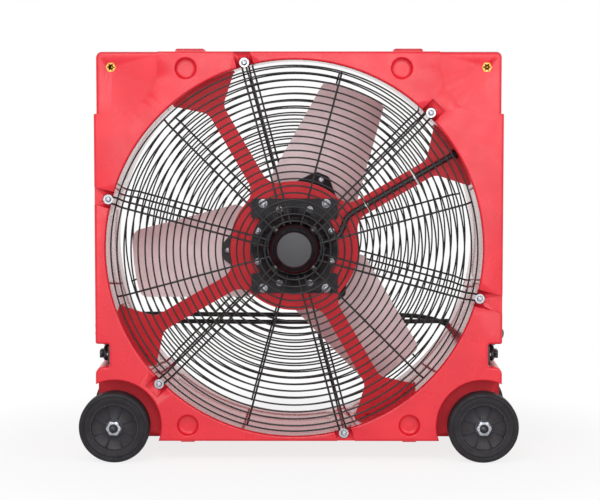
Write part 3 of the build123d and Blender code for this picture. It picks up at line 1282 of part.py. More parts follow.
def sub_parts():
    parts = {
        "housing": housing(),
        "brass_inserts": brass_inserts(),
        "front_guard": front_guard(),
        "rear_guard": rear_guard(),
        "motor_support": motor_support(),
        "support_bolts": support_bolts(),
        "motor_mount_plate": motor_mount_plate(),
        "mount_plate_screws": mount_plate_screws(),
        "motor_screws": motor_screws(),
        "motor_body": motor_body(),
        "stator_core": stator_core(),
        "stator_windings": stator_windings(),
        "motor_bearings": motor_bearings(),
        "motor_cap": motor_cap(),
        "motor_shaft": motor_shaft(),
        "rotor_core": rotor_core(),
        "impeller_hub": impeller_hub(),
        "blade_screws": blade_screws(),
        "hub_washer": hub_washer(),
        "hub_bolt": hub_bolt(),
        "motor_lead": motor_lead(),
        "lead_gland": lead_gland(),
        "cable_ties": cable_ties(),
        "lead_grommet": lead_grommet(),
        "switch_box": switch_box(),
        "switch_unit": switch_unit(),
        "switch_knob": switch_knob(),
        "cord_gland": cord_gland(),
        "cable_hooks": cable_hooks(),
        "power_cord": power_cord(),
        "power_plug": power_plug(),
        "plug_pins": plug_pins(),
        "hook_screws": hook_screws(),
        "axle_studs": at_each_wheel(axle_stud()),
        "axle_nuts": at_each_wheel(axle_nut()),
        "axle_washers": [one for washer in axle_washers() for one in at_each_wheel(washer)],
    }
    parts["front_guard_screws"] = at_each_guard_screw(guard_screw())
    parts["front_guard_washers"] = at_each_guard_screw(guard_washer())
    parts["rear_guard_screws"] = [behind(one) for one in parts["front_guard_screws"]]
    parts["rear_guard_washers"] = [behind(one) for one in parts["front_guard_washers"]]
    for number in range(BLADE_COUNT):
        parts[f"blade_{number + 1}"] = at_blade(blade(), number)
    for number, name in enumerate(WHEEL_NAMES):
        parts[f"{name}_tyre"] = placed_wheel(tyre(), number)
        parts[f"{name}_wheel"] = placed_wheel(wheel_centre(), number)
        parts[f"{name}_bush"] = placed_wheel(wheel_bush(), number)
    return parts


def main():
    os.makedirs("parts", exist_ok=True)
    for name, part in sub_parts().items():
        shape = Compound(children=part) if isinstance(part, list) else part
        export_step(shape, f"parts/{name}.step")


main()
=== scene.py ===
import json
import math

import bmesh
import bpy
from mathutils import Matrix, Vector


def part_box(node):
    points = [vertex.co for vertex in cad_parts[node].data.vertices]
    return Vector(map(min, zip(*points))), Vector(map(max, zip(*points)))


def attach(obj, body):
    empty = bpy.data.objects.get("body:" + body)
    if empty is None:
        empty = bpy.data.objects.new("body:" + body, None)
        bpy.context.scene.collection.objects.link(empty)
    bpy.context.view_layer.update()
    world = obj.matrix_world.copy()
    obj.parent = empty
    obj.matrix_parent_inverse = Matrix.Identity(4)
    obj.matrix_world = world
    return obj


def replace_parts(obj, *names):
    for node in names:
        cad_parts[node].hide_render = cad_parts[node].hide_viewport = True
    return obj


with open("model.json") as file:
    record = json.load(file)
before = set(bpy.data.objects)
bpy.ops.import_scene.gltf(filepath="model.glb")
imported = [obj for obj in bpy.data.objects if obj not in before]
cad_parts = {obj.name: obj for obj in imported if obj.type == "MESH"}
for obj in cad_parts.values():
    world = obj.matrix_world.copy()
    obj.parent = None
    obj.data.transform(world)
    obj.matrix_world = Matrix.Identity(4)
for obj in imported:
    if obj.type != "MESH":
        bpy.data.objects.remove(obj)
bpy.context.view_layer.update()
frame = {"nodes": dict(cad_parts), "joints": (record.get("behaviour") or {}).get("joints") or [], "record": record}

# Axial air mover: red moulded housing on four wheels, wire guards, motor on a four-legged support.
# Metres, +Z up, front towards -Y. Sizes below are in millimetres and are turned to metres by MM.

NODES = frame["nodes"]
SLOT_OF = {row["node"]: row["material_slot"] for row in frame["record"]["subparts"]}
BODY_OF = {node: body for body, nodes in frame["record"]["behaviour"]["bodies"].items() for node in nodes}
JOINT_PLACE = {joint["name"]: Vector(joint["pos_m"]) for joint in frame["joints"]}
FAN = JOINT_PLACE["impeller_spin"]
WHEEL = Vector(abs(part) for part in JOINT_PLACE["front_right_wheel_spin"])
FACE = -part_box("housing")[0].y
MM = 0.001
FRONT, REAR = -1, 1

# ---- camera and light ----------------------------------------------------------------------------
CAMERA_DISTANCE = 3.765      # from the middle of the depth
CAMERA_SIDE = 0.018
CAMERA_HEIGHT = 0.673
CAMERA_PITCH = 4.6
CAMERA_YAW = 0.25
CAMERA_LENS = 122.0
FLOOR_HALF = 9.0
FLOOR_HEX = "F4F4F4"
SHADOW_REACH = 0.45          # how far from the middle the floor keeps its shadow
WHITE_REACH = 0.85           # and where it has faded to white
SHADOW_LIFT = 0.8            # share of white in the shadow that is seen
WORLD_LEVEL = 0.52

# ---- power cord ----------------------------------------------------------------------------------
# From the gland under the control box down the right rear corner, two strands between the hooks of
# each side and two across the back, then down to the plug. Metres, the points of the CAD route, with
# the turns round the hooks 4 mm wider, so that the smooth line stays off their posts.
CORD_DIAMETER = 0.009
CORD_ROUTE = [
    (0.335, 0.152, 0.497), (0.3355, 0.1525, 0.443), (0.338, 0.157, 0.373), (0.349, 0.168, 0.3055),
    (0.368, 0.172, 0.2565), (0.388, 0.152, 0.2225), (0.384, 0.112, 0.2075), (0.361, 0.062, 0.202),
    (0.350, 0, 0.2005), (0.349, -0.060, 0.2005), (0.349, -0.122, 0.2028), (0.349, -0.122, 0.1802),
    (0.349, -0.060, 0.1825), (0.350, 0, 0.1832), (0.358, 0.059, 0.1842), (0.382, 0.105, 0.1891),
    (0.393, 0.141, 0.199), (0.3842, 0.173, 0.2082), (0.351, 0.193, 0.2155), (0.288, 0.1773, 0.2171),
    (0.160, 0.1741, 0.2161), (0.030, 0.1733, 0.2155), (-0.100, 0.1737, 0.2157), (-0.226, 0.1757, 0.2169),
    (-0.351, 0.193, 0.2145), (-0.3842, 0.173, 0.2075), (-0.393, 0.141, 0.1985), (-0.382, 0.105, 0.1889),
    (-0.358, 0.059, 0.1841), (-0.350, 0, 0.1831), (-0.349, -0.060, 0.1825), (-0.349, -0.122, 0.1802),
    (-0.349, -0.122, 0.2028), (-0.349, -0.060, 0.2005), (-0.350, 0, 0.2011), (-0.358, 0.059, 0.2019),
    (-0.382, 0.105, 0.2061), (-0.393, 0.141, 0.2145), (-0.3842, 0.173, 0.2223), (-0.351, 0.193, 0.2285),
    (-0.288, 0.1873, 0.2301), (-0.160, 0.1841, 0.2291), (-0.030, 0.1833, 0.2285), (0.100, 0.1837, 0.2287),
    (0.205, 0.192, 0.2275), (0.262, 0.199, 0.2205), (0.304, 0.203, 0.199), (0.306, 0.2045, 0.164),
]

# ---- guards --------------------------------------------------------------------------------------
RING_WIRE = 1.5
SPOKE_WIRE = 1.8
RING_PITCH = 12.5
DUCT_RADIUS = 337.0
OUTER_RING_GAP = 9.7
FRONT_INNER_RING = 50.0
REAR_INNER_RING = 14.0
FRONT_SPOKE_START = 46.8
REAR_PAIR_START = 21.0
REAR_SINGLE_START = 34.0
RING_PLANE = 22.0            # ahead of the housing face
CHANNEL_DEPTH = 9.0
PAIR_HALF = 6.0
BEND_GAP = 20.0
FOOT_GAP = 7.0
SCREW_GAP = 7.0
LOOP_ANGLE = 45
SINGLE_ANGLE = 15
SPOKE_COUNT = 6
RING_STEPS = 144
WIRE_SIDES = 10


# ---- edges of the finishes that change within a piece --------------------------------------------
ARCH_RADIUS = 83.0           # the dull wheel arches, from the wheel's axis
CAP_FACE_SHINE = 30.0        # the motor cap's matt face, inside its polished shoulder


# ---- shapes --------------------------------------------------------------------------------------
def point(x, y, z):
    """A point given in millimetres."""
    return Vector((x, y, z)) * MM


def fan_point(radius, depth, angle):
    """A point round the fan axis, at an angle anticlockwise from the right as seen from the front."""
    turn = math.radians(angle)
    return FAN + Vector((radius * math.cos(turn), depth, radius * math.sin(turn))) * MM


def fan_turn(angle):
    """Turns a shape drawn on the right of the fan axis to an angle round it."""
    return Matrix.Translation(FAN) @ Matrix.Rotation(math.radians(-angle), 4, "Y")


def mirrored(side):
    """A matrix that puts a shape drawn for the front on the front or on the rear."""
    return Matrix.Diagonal((1, 1 if side == FRONT else -1, 1, 1))


def join(shape, other, place=Matrix.Identity(4)):
    """Adds a placed copy of one bmesh to another."""
    mesh = bpy.data.meshes.new("copy")
    other.to_mesh(mesh)
    mesh.transform(place)
    if place.determinant() < 0:
        mesh.flip_normals()
    shape.from_mesh(mesh)
    bpy.data.meshes.remove(mesh)


def placed(shape, place):
    """Moves a bmesh, given in metres at the origin, to its place."""
    bmesh.ops.transform(shape, verts=shape.verts, matrix=place)
    return shape


def lathe(profile, steps):
    """A profile of (radius, along) in millimetres, turned round an axis; closed where it starts on it."""
    shape = bmesh.new()
    corners = [shape.verts.new(point(radius, along, 0)) for radius, along in profile]
    edges = [shape.edges.new(pair) for pair in zip(corners, corners[1:])]
    bmesh.ops.spin(shape, geom=corners + edges, cent=(0, 0, 0), axis=(0, 1, 0), angle=math.tau, steps=steps,
                   use_merge=True)
    bmesh.ops.remove_doubles(shape, verts=shape.verts, dist=0.01 * MM)
    bmesh.ops.recalc_face_normals(shape, faces=shape.faces)
    return shape


def ring(radius, depth, thickness, steps, sides):
    """A round wire bent into a circle round the Y axis."""
    shape = bmesh.new()
    section = bmesh.ops.create_circle(shape, segments=sides, radius=thickness * MM)["verts"]
    bmesh.ops.translate(shape, verts=section, vec=point(radius, depth, 0))
    bmesh.ops.spin(shape, geom=section + list(shape.edges), cent=(0, 0, 0), axis=(0, 1, 0), angle=math.tau,
                   steps=steps, use_merge=True)
    bmesh.ops.recalc_face_normals(shape, faces=shape.faces)
    return shape


def line_of(points, order=3, resolution=6):
    """A smooth open spline with the given control points."""
    curve = bpy.data.curves.new("line", "CURVE")
    curve.dimensions = "3D"
    curve.resolution_u = resolution
    spline = curve.splines.new("NURBS")
    spline.points.add(len(points) - 1)
    for knot, place in zip(spline.points, points):
        knot.co = (*place, 1)
    spline.order_u = order
    spline.use_endpoint_u = True
    return curve


def bent_wire(points, thickness, resolution=5):
    """A round wire along a smooth line, with closed ends."""
    curve = line_of(points, resolution=resolution)
    curve.bevel_depth = thickness * MM
    curve.bevel_resolution = 2
    curve.use_fill_caps = True
    holder = bpy.data.objects.new("line", curve)
    mesh = bpy.data.meshes.new_from_object(holder)
    bpy.data.objects.remove(holder)
    bpy.data.curves.remove(curve)
    shape = bmesh.new()
    shape.from_mesh(mesh)
    bpy.data.meshes.remove(mesh)
    bmesh.ops.remove_doubles(shape, verts=shape.verts, dist=0.001 * MM)
    bmesh.ops.recalc_face_normals(shape, faces=shape.faces)
    return shape


def cut(shape, cutter):
    """The shape with the cutter taken out of it."""
    pair = []
    for part in (shape, cutter):
        mesh = bpy.data.meshes.new("cut")
        part.to_mesh(mesh)
        part.free()
        holder = bpy.data.objects.new("cut", mesh)
        bpy.context.scene.collection.objects.link(holder)
        pair.append(holder)
    step = pair[0].modifiers.new("cut", "BOOLEAN")
    step.object = pair[1]
    step.operation = "DIFFERENCE"
    step.solver = "EXACT"
    bpy.context.view_layer.update()
    mesh = bpy.data.meshes.new_from_object(pair[0].evaluated_get(bpy.context.evaluated_depsgraph_get()))
    result = bmesh.new()
    result.from_mesh(mesh)
    for holder in pair:
        old = holder.data
        bpy.data.objects.remove(holder)
        bpy.data.meshes.remove(old)
    bpy.data.meshes.remove(mesh)
    return result


def block(width, depth, height, rounding, segments=2):
    """A box with rounded edges, in millimetres."""
    shape = bmesh.new()
    bmesh.ops.create_cube(shape, size=1)
    bmesh.ops.scale(shape, verts=shape.verts, vec=point(width, depth, height))
    bmesh.ops.bevel(shape, geom=shape.edges[:], offset=rounding * MM, segments=segments, affect="EDGES",
                    profile=0.5, material=-1)
    return shape


def finished(shape, name, body, finish, slot, crease=35):
    """Makes a bmesh a piece of the air mover that rides on a body; its slot argument is not used."""
    mesh = bpy.data.meshes.new(name)
    shape.to_mesh(mesh)
    shape.free()
    mesh.materials.append(finish)
    mesh.shade_smooth()
    mesh.set_sharp_from_angle(angle=math.radians(crease))
    piece = bpy.data.objects.new(name, mesh)
    bpy.context.scene.collection.objects.link(piece)
    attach(piece, body)
    return piece


def smoothed(node, finish, crease=35):
    """Stands a smooth-shaded copy of a CAD node in for it."""
    shape = bmesh.new()
    shape.from_mesh(NODES[node].data)
    bmesh.ops.remove_doubles(shape, verts=shape.verts, dist=0.005 * MM)
    piece = finished(shape, "smooth_" + node, BODY_OF[node], finish, SLOT_OF[node], crease)
    weights = piece.modifiers.new("face weights", "WEIGHTED_NORMAL")
    weights.keep_sharp = True
    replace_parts(piece, node)
    return piece


# ---- materials -----------------------------------------------------------------------------------
def colour(code):
    """An sRGB hex colour as linear values."""
    channels = [int(code[i:i + 2], 16) / 255 for i in (0, 2, 4)]
    return tuple(c / 12.92 if c <= 0.04045 else ((c + 0.055) / 1.055) ** 2.4 for c in channels) + (1.0,)


def add_node(tree, kind, values=None, links=None, **settings):
    """Adds a shader node with its settings, its plain input values and its links from other nodes."""
    made = tree.nodes.new(kind)
    for name, value in settings.items():
        setattr(made, name, value)
    for socket, value in (values or {}).items():
        made.inputs[socket].default_value = value
    for socket, source in (links or {}).items():
        tree.links.new(source, made.inputs[socket])
    return made


def new_finish(name, **values):
    """A material with its shader's plain values set; underscores in names stand for spaces."""
    finish = bpy.data.materials.new(name)
    finish.use_nodes = True
    shader = finish.node_tree.nodes["Principled BSDF"]
    for socket, value in values.items():
        shader.inputs[socket.replace("_", " ")].default_value = value
    place = add_node(finish.node_tree, "ShaderNodeTexCoord").outputs["Object"]
    return finish, finish.node_tree, shader, place


def per_metre(size_mm):
    """A pattern's scale, from the size of one of its features."""
    return 1000.0 / size_mm


def mottled(tree, shader, place, size_mm, first, second, low=0.35, high=0.65):
    """Drifts the base colour between two close colours over patches of a real size."""
    patches = add_node(tree, "ShaderNodeTexNoise", {"Scale": per_metre(size_mm), "Detail": 3.0},
                       {"Vector": place})
    share = add_node(tree, "ShaderNodeMapRange", {"From Min": low, "From Max": high},
                     {"Value": patches.outputs["Fac"]})
    mix = add_node(tree, "ShaderNodeMix", {6: colour(first), 7: colour(second)},
                   {0: share.outputs["Result"]}, data_type="RGBA")
    tree.links.new(mix.outputs[2], shader.inputs["Base Color"])
    return mix


def uneven_gloss(tree, shader, place, size_mm, low, high):
    """Drifts the roughness between two values over patches of a real size."""
    patches = add_node(tree, "ShaderNodeTexNoise", {"Scale": per_metre(size_mm), "Detail": 4.0},
                       {"Vector": place})
    rough = add_node(tree, "ShaderNodeMapRange",
                     {"From Min": 0.3, "From Max": 0.7, "To Min": low, "To Max": high},
                     {"Value": patches.outputs["Fac"]})
    tree.links.new(rough.outputs["Result"], shader.inputs["Roughness"])
    return rough.outputs["Result"]


def near_axis(tree, place, centre, radius):
    """1 within a distance of an axis along the depth, and 0 beyond it."""
    off = add_node(tree, "ShaderNodeVectorMath", {1: centre}, {0: place}, operation="SUBTRACT")
    flat = add_node(tree, "ShaderNodeVectorMath", {1: (1, 0, 1)}, {0: off.outputs[0]}, operation="MULTIPLY")
    reach = add_node(tree, "ShaderNodeVectorMath", links={0: flat.outputs[0]}, operation="LENGTH")
    share = add_node(tree, "ShaderNodeMapRange",
                     {"From Min": radius * MM, "From Max": (radius + 2) * MM, "To Min": 1.0, "To Max": 0.0},
                     {"Value": reach.outputs["Value"]})
    return share.outputs["Result"]


def changed_near(tree, share, usual, near):
    """A value that changes to another one where the share is 1."""
    mix = add_node(tree, "ShaderNodeMix", {3: near}, {0: share, 2: usual}, data_type="FLOAT")
    return mix.outputs[0]


def textured(tree, shader, place, size_mm, height_mm, strength=1.0, detail=2.0):
    """Raises a fine grain of a real size and height."""
    grain = add_node(tree, "ShaderNodeTexNoise", {"Scale": per_metre(size_mm), "Detail": detail},
                     {"Vector": place})
    bump = add_node(tree, "ShaderNodeBump", {"Strength": strength, "Distance": height_mm * MM},
                    {"Height": grain.outputs["Fac"]})
    tree.links.new(bump.outputs["Normal"], shader.inputs["Normal"])
    return bump


def rotomoulded_polyethylene():
    """Polyethylene, rotationally moulded: saturated red, waxy gloss, a slow orange peel and faint mottling.

    The duct is moulded against a polished core and comes out glossy; grit scuffs the wheel arches dull.
    """
    finish, tree, shader, place = new_finish("rotomoulded_polyethylene", Roughness=0.4, IOR=1.5,
                                             Specular_IOR_Level=0.4)
    mottled(tree, shader, place, 55, "D72332", "CD1D2D")
    gloss = uneven_gloss(tree, shader, place, 30, 0.24, 0.36)
    duct = near_axis(tree, place, FAN, DUCT_RADIUS + 2)
    both_sides = add_node(tree, "ShaderNodeVectorMath", links={0: place}, operation="ABSOLUTE")
    arch = near_axis(tree, both_sides.outputs[0], WHEEL, ARCH_RADIUS)
    gloss = changed_near(tree, duct, gloss, 0.1)
    gloss = changed_near(tree, arch, gloss, 0.62)
    tree.links.new(gloss, shader.inputs["Roughness"])
    grained = add_node(tree, "ShaderNodeMath", {0: 1.0}, {1: duct}, operation="SUBTRACT")
    bump = textured(tree, shader, place, 7, 0.06)
    tree.links.new(grained.outputs[0], bump.inputs["Strength"])
    return finish


def enamelled_wire():
    """Mild steel wire, powder coated gloss black: small bright glints along each wire."""
    finish, tree, shader, place = new_finish("enamelled_wire", Roughness=0.26, IOR=1.5,
                                             Specular_IOR_Level=0.3)
    mottled(tree, shader, place, 20, "100F11", "171619")
    uneven_gloss(tree, shader, place, 8, 0.16, 0.27)
    textured(tree, shader, place, 1.5, 0.05, 0.4)
    return finish


def zinc_plate():
    """Steel screws and washers, bright zinc plated: pale grey metal with a faint bluish bloom."""
    finish, tree, shader, place = new_finish("zinc_plate", Metallic=1.0, Roughness=0.32)
    mottled(tree, shader, place, 3, "AEB0B5", "8F9298")
    uneven_gloss(tree, shader, place, 2, 0.24, 0.42)
    return finish


def red_powder_coat():
    """Steel plate, powder coated red: deeper than the housing, with a fine orange peel."""
    finish, tree, shader, place = new_finish("red_powder_coat", Roughness=0.4, IOR=1.5,
                                             Specular_IOR_Level=0.2)
    mottled(tree, shader, place, 40, "C31C29", "B81723")
    uneven_gloss(tree, shader, place, 12, 0.3, 0.42)
    textured(tree, shader, place, 2, 0.06, 0.5)
    return finish


def black_powder_coat():
    """Steel plate, powder coated satin black."""
    finish, tree, shader, place = new_finish("black_powder_coat", Roughness=0.42, IOR=1.5,
                                             Specular_IOR_Level=0.25)
    mottled(tree, shader, place, 25, "17161A", "1E1D21")
    uneven_gloss(tree, shader, place, 10, 0.36, 0.5)
    textured(tree, shader, place, 1.6, 0.05, 0.5)
    return finish


def painted_casting():
    """Aluminium motor casting, painted black: satin, with the sand's grain showing through."""
    finish, tree, shader, place = new_finish("painted_casting", Roughness=0.42, IOR=1.5,
                                             Specular_IOR_Level=0.25)
    mottled(tree, shader, place, 15, "151418", "1C1B1F")
    uneven_gloss(tree, shader, place, 6, 0.36, 0.55)
    textured(tree, shader, place, 1.8, 0.25, 0.6, 4.0)
    return finish


def steel_laminations():
    """Silicon steel laminations, stacked along the fan axis: thin dark lines across a grey metal."""
    finish, tree, shader, place = new_finish("steel_laminations", Metallic=1.0, Roughness=0.45)
    sheets = add_node(tree, "ShaderNodeTexWave", {"Scale": per_metre(1.6) / 20, "Distortion": 0.2},
                      {"Vector": place}, bands_direction="Y")
    mix = add_node(tree, "ShaderNodeMix", {6: colour("55575C"), 7: colour("7C7F86")},
                   {0: sheets.outputs["Fac"]}, data_type="RGBA")
    tree.links.new(mix.outputs[2], shader.inputs["Base Color"])
    return finish


def varnished_copper():
    """Enamelled copper winding wire, dipped in varnish: warm metal with lines running round the coil."""
    finish, tree, shader, place = new_finish("varnished_copper", Metallic=0.85, Roughness=0.36,
                                             Coat_Weight=0.5)
    mottled(tree, shader, place, 4, "B2653A", "8A4426")
    textured(tree, shader, place, 1.2, 0.4, 0.8)
    return finish


def turned_steel():
    """Bar steel, turned: grey metal with fine rings round the axis."""
    finish, tree, shader, place = new_finish("turned_steel", Metallic=1.0, Roughness=0.34)
    mottled(tree, shader, place, 6, "A7A9AD", "8F9196")
    uneven_gloss(tree, shader, place, 3, 0.26, 0.44)
    return finish


def dark_axle_steel():
    """Axle studs and their washers: dark grey metal."""
    finish, tree, shader, place = new_finish("dark_axle_steel", Metallic=1.0, Roughness=0.42)
    mottled(tree, shader, place, 3, "55545A", "3A3A3F")
    return finish


def moulded_abs():
    """ABS, injection moulded black: semi-gloss with a fine spark-eroded grain."""
    finish, tree, shader, place = new_finish("moulded_abs", Roughness=0.3, IOR=1.54, Specular_IOR_Level=0.35)
    mottled(tree, shader, place, 30, "2A262C", "302B32")
    uneven_gloss(tree, shader, place, 9, 0.28, 0.4)
    textured(tree, shader, place, 1.2, 0.04, 0.5)
    return finish


def moulded_cap():
    """ABS motor cap, moulded: a matt dark grey face inside a polished black shoulder."""
    finish, tree, shader, place = new_finish("moulded_cap", Roughness=0.3, IOR=1.54)
    face = near_axis(tree, place, FAN, CAP_FACE_SHINE)
    mix = add_node(tree, "ShaderNodeMix", {6: colour("121115"), 7: colour("29272C")}, {0: face},
                   data_type="RGBA")
    tree.links.new(mix.outputs[2], shader.inputs["Base Color"])
    gloss = uneven_gloss(tree, shader, place, 10, 0.12, 0.2)
    tree.links.new(changed_near(tree, face, gloss, 0.5), shader.inputs["Roughness"])
    return finish


def moulded_blade():
    """Glass-filled nylon blades, moulded: warm grey, satin, with faint flow marks along each blade."""
    finish, tree, shader, place = new_finish("moulded_blade", Roughness=0.42, IOR=1.53)
    mottled(tree, shader, place, 45, "E2D0D2", "D6C4C7")
    uneven_gloss(tree, shader, place, 14, 0.36, 0.5)
    textured(tree, shader, place, 2.2, 0.06, 0.5, 3.0)
    return finish


def tyre_rubber():
    """Solid rubber tyre, moulded: near black, dull, a little dusty."""
    finish, tree, shader, place = new_finish("tyre_rubber", Roughness=0.6, IOR=1.52, Specular_IOR_Level=0.25)
    mottled(tree, shader, place, 18, "19171A", "221F23")
    uneven_gloss(tree, shader, place, 7, 0.5, 0.72)
    textured(tree, shader, place, 1.5, 0.08, 0.6)
    return finish


def moulded_wheel():
    """Polypropylene wheel centre, moulded black: satin with a soft sheen on its ribs."""
    finish, tree, shader, place = new_finish("moulded_wheel", Roughness=0.4, IOR=1.49, Specular_IOR_Level=0.3)
    mottled(tree, shader, place, 16, "201D22", "28252A")
    uneven_gloss(tree, shader, place, 8, 0.34, 0.48)
    return finish


def turned_brass():
    """Brass insert, turned from hexagon bar: yellow metal, a little dulled."""
    finish, tree, shader, place = new_finish("turned_brass", Metallic=1.0, Roughness=0.34)
    mottled(tree, shader, place, 4, "C9A055", "A87F3C")
    uneven_gloss(tree, shader, place, 2, 0.28, 0.46)
    return finish


def corrugated_nylon():
    """Nylon conduit, corrugated: glossy black that catches a line of light on each ring."""
    finish, tree, shader, place = new_finish("corrugated_nylon", Roughness=0.28, IOR=1.53)
    mottled(tree, shader, place, 12, "101012", "17171A")
    uneven_gloss(tree, shader, place, 5, 0.22, 0.34)
    return finish


def black_rubber():
    """Rubber glands and grommet: dull black."""
    finish, tree, shader, place = new_finish("black_rubber", Roughness=0.55, IOR=1.52, Specular_IOR_Level=0.3)
    mottled(tree, shader, place, 10, "151517", "1D1D20")
    textured(tree, shader, place, 1.2, 0.05, 0.5)
    return finish


def pvc_sheath():
    """Flexible cord, black PVC sheath: low gloss with faint handling marks."""
    finish, tree, shader, place = new_finish("pvc_sheath", Roughness=0.42, IOR=1.53, Specular_IOR_Level=0.3)
    mottled(tree, shader, place, 14, "18181A", "212124")
    uneven_gloss(tree, shader, place, 6, 0.36, 0.5)
    return finish


def natural_nylon():
    """Nylon cable ties, natural: milky white and slightly translucent."""
    finish, tree, shader, place = new_finish("natural_nylon", Roughness=0.36, IOR=1.53, Subsurface_Weight=0.2,
                                             Subsurface_Scale=0.002)
    mottled(tree, shader, place, 5, "E6E6E1", "D9D9D2")
    return finish


def legend_paint():
    """Pad-printed white paint."""
    finish, tree, shader, place = new_finish("legend_paint", Roughness=0.5)
    mottled(tree, shader, place, 3, "E8E8E6", "DCDCDA")
    return finish


RED_PLASTIC = rotomoulded_polyethylene()
WIRE_ENAMEL = enamelled_wire()
ZINC = zinc_plate()
RED_COAT = red_powder_coat()
BLACK_COAT = black_powder_coat()
CASTING = painted_casting()
LAMINATIONS = steel_laminations()
COPPER = varnished_copper()
STEEL = turned_steel()
THREAD_STEEL = dark_axle_steel()
ABS = moulded_abs()
CAP_ABS = moulded_cap()
BLADE_NYLON = moulded_blade()
TYRE = tyre_rubber()
WHEEL_PLASTIC = moulded_wheel()
BRASS = turned_brass()
CONDUIT = corrugated_nylon()
RUBBER = black_rubber()
SHEATH = pvc_sheath()
WHITE_NYLON = natural_nylon()
WHITE_PAINT = legend_paint()

FINISH_OF_SLOT = {
    "red_housing": RED_PLASTIC, "brass": BRASS, "black_wire": WIRE_ENAMEL, "zinc": ZINC,
    "red_steel": RED_COAT, "black_steel": BLACK_COAT, "black_cast": CASTING, "steel": STEEL,
    "laminations": LAMINATIONS,
    "copper": COPPER, "black_plastic": ABS, "grey_blade": BLADE_NYLON, "black_tyre": TYRE,
    "wheel_grey": WHEEL_PLASTIC, "black_rubber": RUBBER, "knob_black": ABS, "white_nylon": WHITE_NYLON,
}


# ---- camera --------------------------------------------------------------------------------------
def camera():
    """Long lens, a little above the middle of the housing, looking slightly down."""
    lens = bpy.data.cameras.new("camera")
    lens.lens = CAMERA_LENS
    lens.sensor_width = 36
    lens.clip_end = 50
    holder = bpy.data.objects.new("camera", lens)
    holder.location = (CAMERA_SIDE, -CAMERA_DISTANCE, CAMERA_HEIGHT)
    holder.rotation_euler = (math.radians(90 - CAMERA_PITCH), 0, math.radians(CAMERA_YAW))
    bpy.context.scene.collection.objects.link(holder)
    bpy.context.scene.camera = holder


camera()


# ---- power cord ----------------------------------------------------------------------------------
def cord_flex():
    """The round flexible cord along its route."""
    line = line_of(CORD_ROUTE, resolution=8)
    line.name = "power_flex"
    line.bevel_depth = CORD_DIAMETER / 2
    line.bevel_resolution = 3
    line.use_fill_caps = True
    line.materials.append(SHEATH)
    flex = bpy.data.objects.new("power_flex", line)
    bpy.context.scene.collection.objects.link(flex)
    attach(flex, "frame")
    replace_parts(flex, "power_cord")
    return flex


cord_flex()
smoothed("power_plug", RUBBER)
smoothed("plug_pins", STEEL)


# ---- guards --------------------------------------------------------------------------------------
def spoke_line():
    """Depths of the flat and of the foot of a spoke, and the radii of its bend and foot."""
    face = FACE / MM
    flat = -face - RING_PLANE + RING_WIRE + SPOKE_WIRE
    foot = -face + CHANNEL_DEPTH - SPOKE_WIRE
    return flat, foot, DUCT_RADIUS - BEND_GAP, DUCT_RADIUS - FOOT_GAP


def ring_places(inner):
    """Radius and depth of each ring, on the front of the spokes."""
    flat, foot, bend, down = spoke_line()
    touch = RING_WIRE + SPOKE_WIRE
    slope = math.hypot(down - bend, foot - flat)
    radius = DUCT_RADIUS - OUTER_RING_GAP
    while radius >= inner:
        depth = flat - touch
        if radius > bend:
            under = radius - touch * (foot - flat) / slope
            depth = flat + (under - bend) * (foot - flat) / (down - bend) - touch * (down - bend) / slope
        yield radius, depth
        radius -= RING_PITCH


def loop_spoke(start):
    """One wire out along the guard, down to the housing, round its screw and back."""
    flat, foot, bend, down = spoke_line()
    screw = DUCT_RADIUS + SCREW_GAP
    out = [(start, flat), (start + 60, flat), (bend - 40, flat), (bend - 6, flat), (bend + 1, flat + 2),
           (down - 1, foot - 2), (down + 5, foot), (screw, foot), (screw + PAIR_HALF * 1.3, foot)]
    line = [point(radius, depth, PAIR_HALF) for radius, depth in out]
    line += [point(radius, depth, -PAIR_HALF) for radius, depth in reversed(out)]
    return bent_wire(line, SPOKE_WIRE)


def single_spoke(start):
    """One straight wire out along the guard, bent down to its outermost ring."""
    flat, foot, bend, down = spoke_line()
    share = (DUCT_RADIUS - OUTER_RING_GAP - bend) / (down - bend)
    out = [(start, flat), (start + 60, flat), (bend - 40, flat), (bend - 6, flat), (bend + 1, flat + 2),
           (bend + (down - bend) * share, flat + (foot - flat) * share)]
    return bent_wire([point(radius, depth, 0) for radius, depth in out], SPOKE_WIRE)


def wire_guard(name, side, inner, pair_start, single_starts):
    """A whole guard: its rings, its loop spokes and the single spokes between them."""
    shape = bmesh.new()
    for radius, depth in ring_places(inner):
        join(shape, ring(radius, depth, RING_WIRE, RING_STEPS, WIRE_SIDES), mirrored(side) @ fan_turn(0))
    pair = loop_spoke(pair_start)
    for i in range(SPOKE_COUNT):
        turn = 360 / SPOKE_COUNT * i
        join(shape, pair, mirrored(side) @ fan_turn(LOOP_ANGLE + turn))
        single = single_spoke(single_starts[i % len(single_starts)])
        join(shape, single, mirrored(side) @ fan_turn(SINGLE_ANGLE + turn))
        single.free()
    pair.free()
    guard = finished(shape, "wire_" + name, "frame", WIRE_ENAMEL, "black_wire", 60)
    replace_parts(guard, name)


wire_guard("front_guard", FRONT, FRONT_INNER_RING, FRONT_SPOKE_START, [FRONT_SPOKE_START])
wire_guard("rear_guard", REAR, REAR_INNER_RING, REAR_PAIR_START, [0, REAR_SINGLE_START, REAR_SINGLE_START])


# ---- screws --------------------------------------------------------------------------------------
SCREW_TURN = 37              # from one screw's recess to the next one's, as a hand leaves them


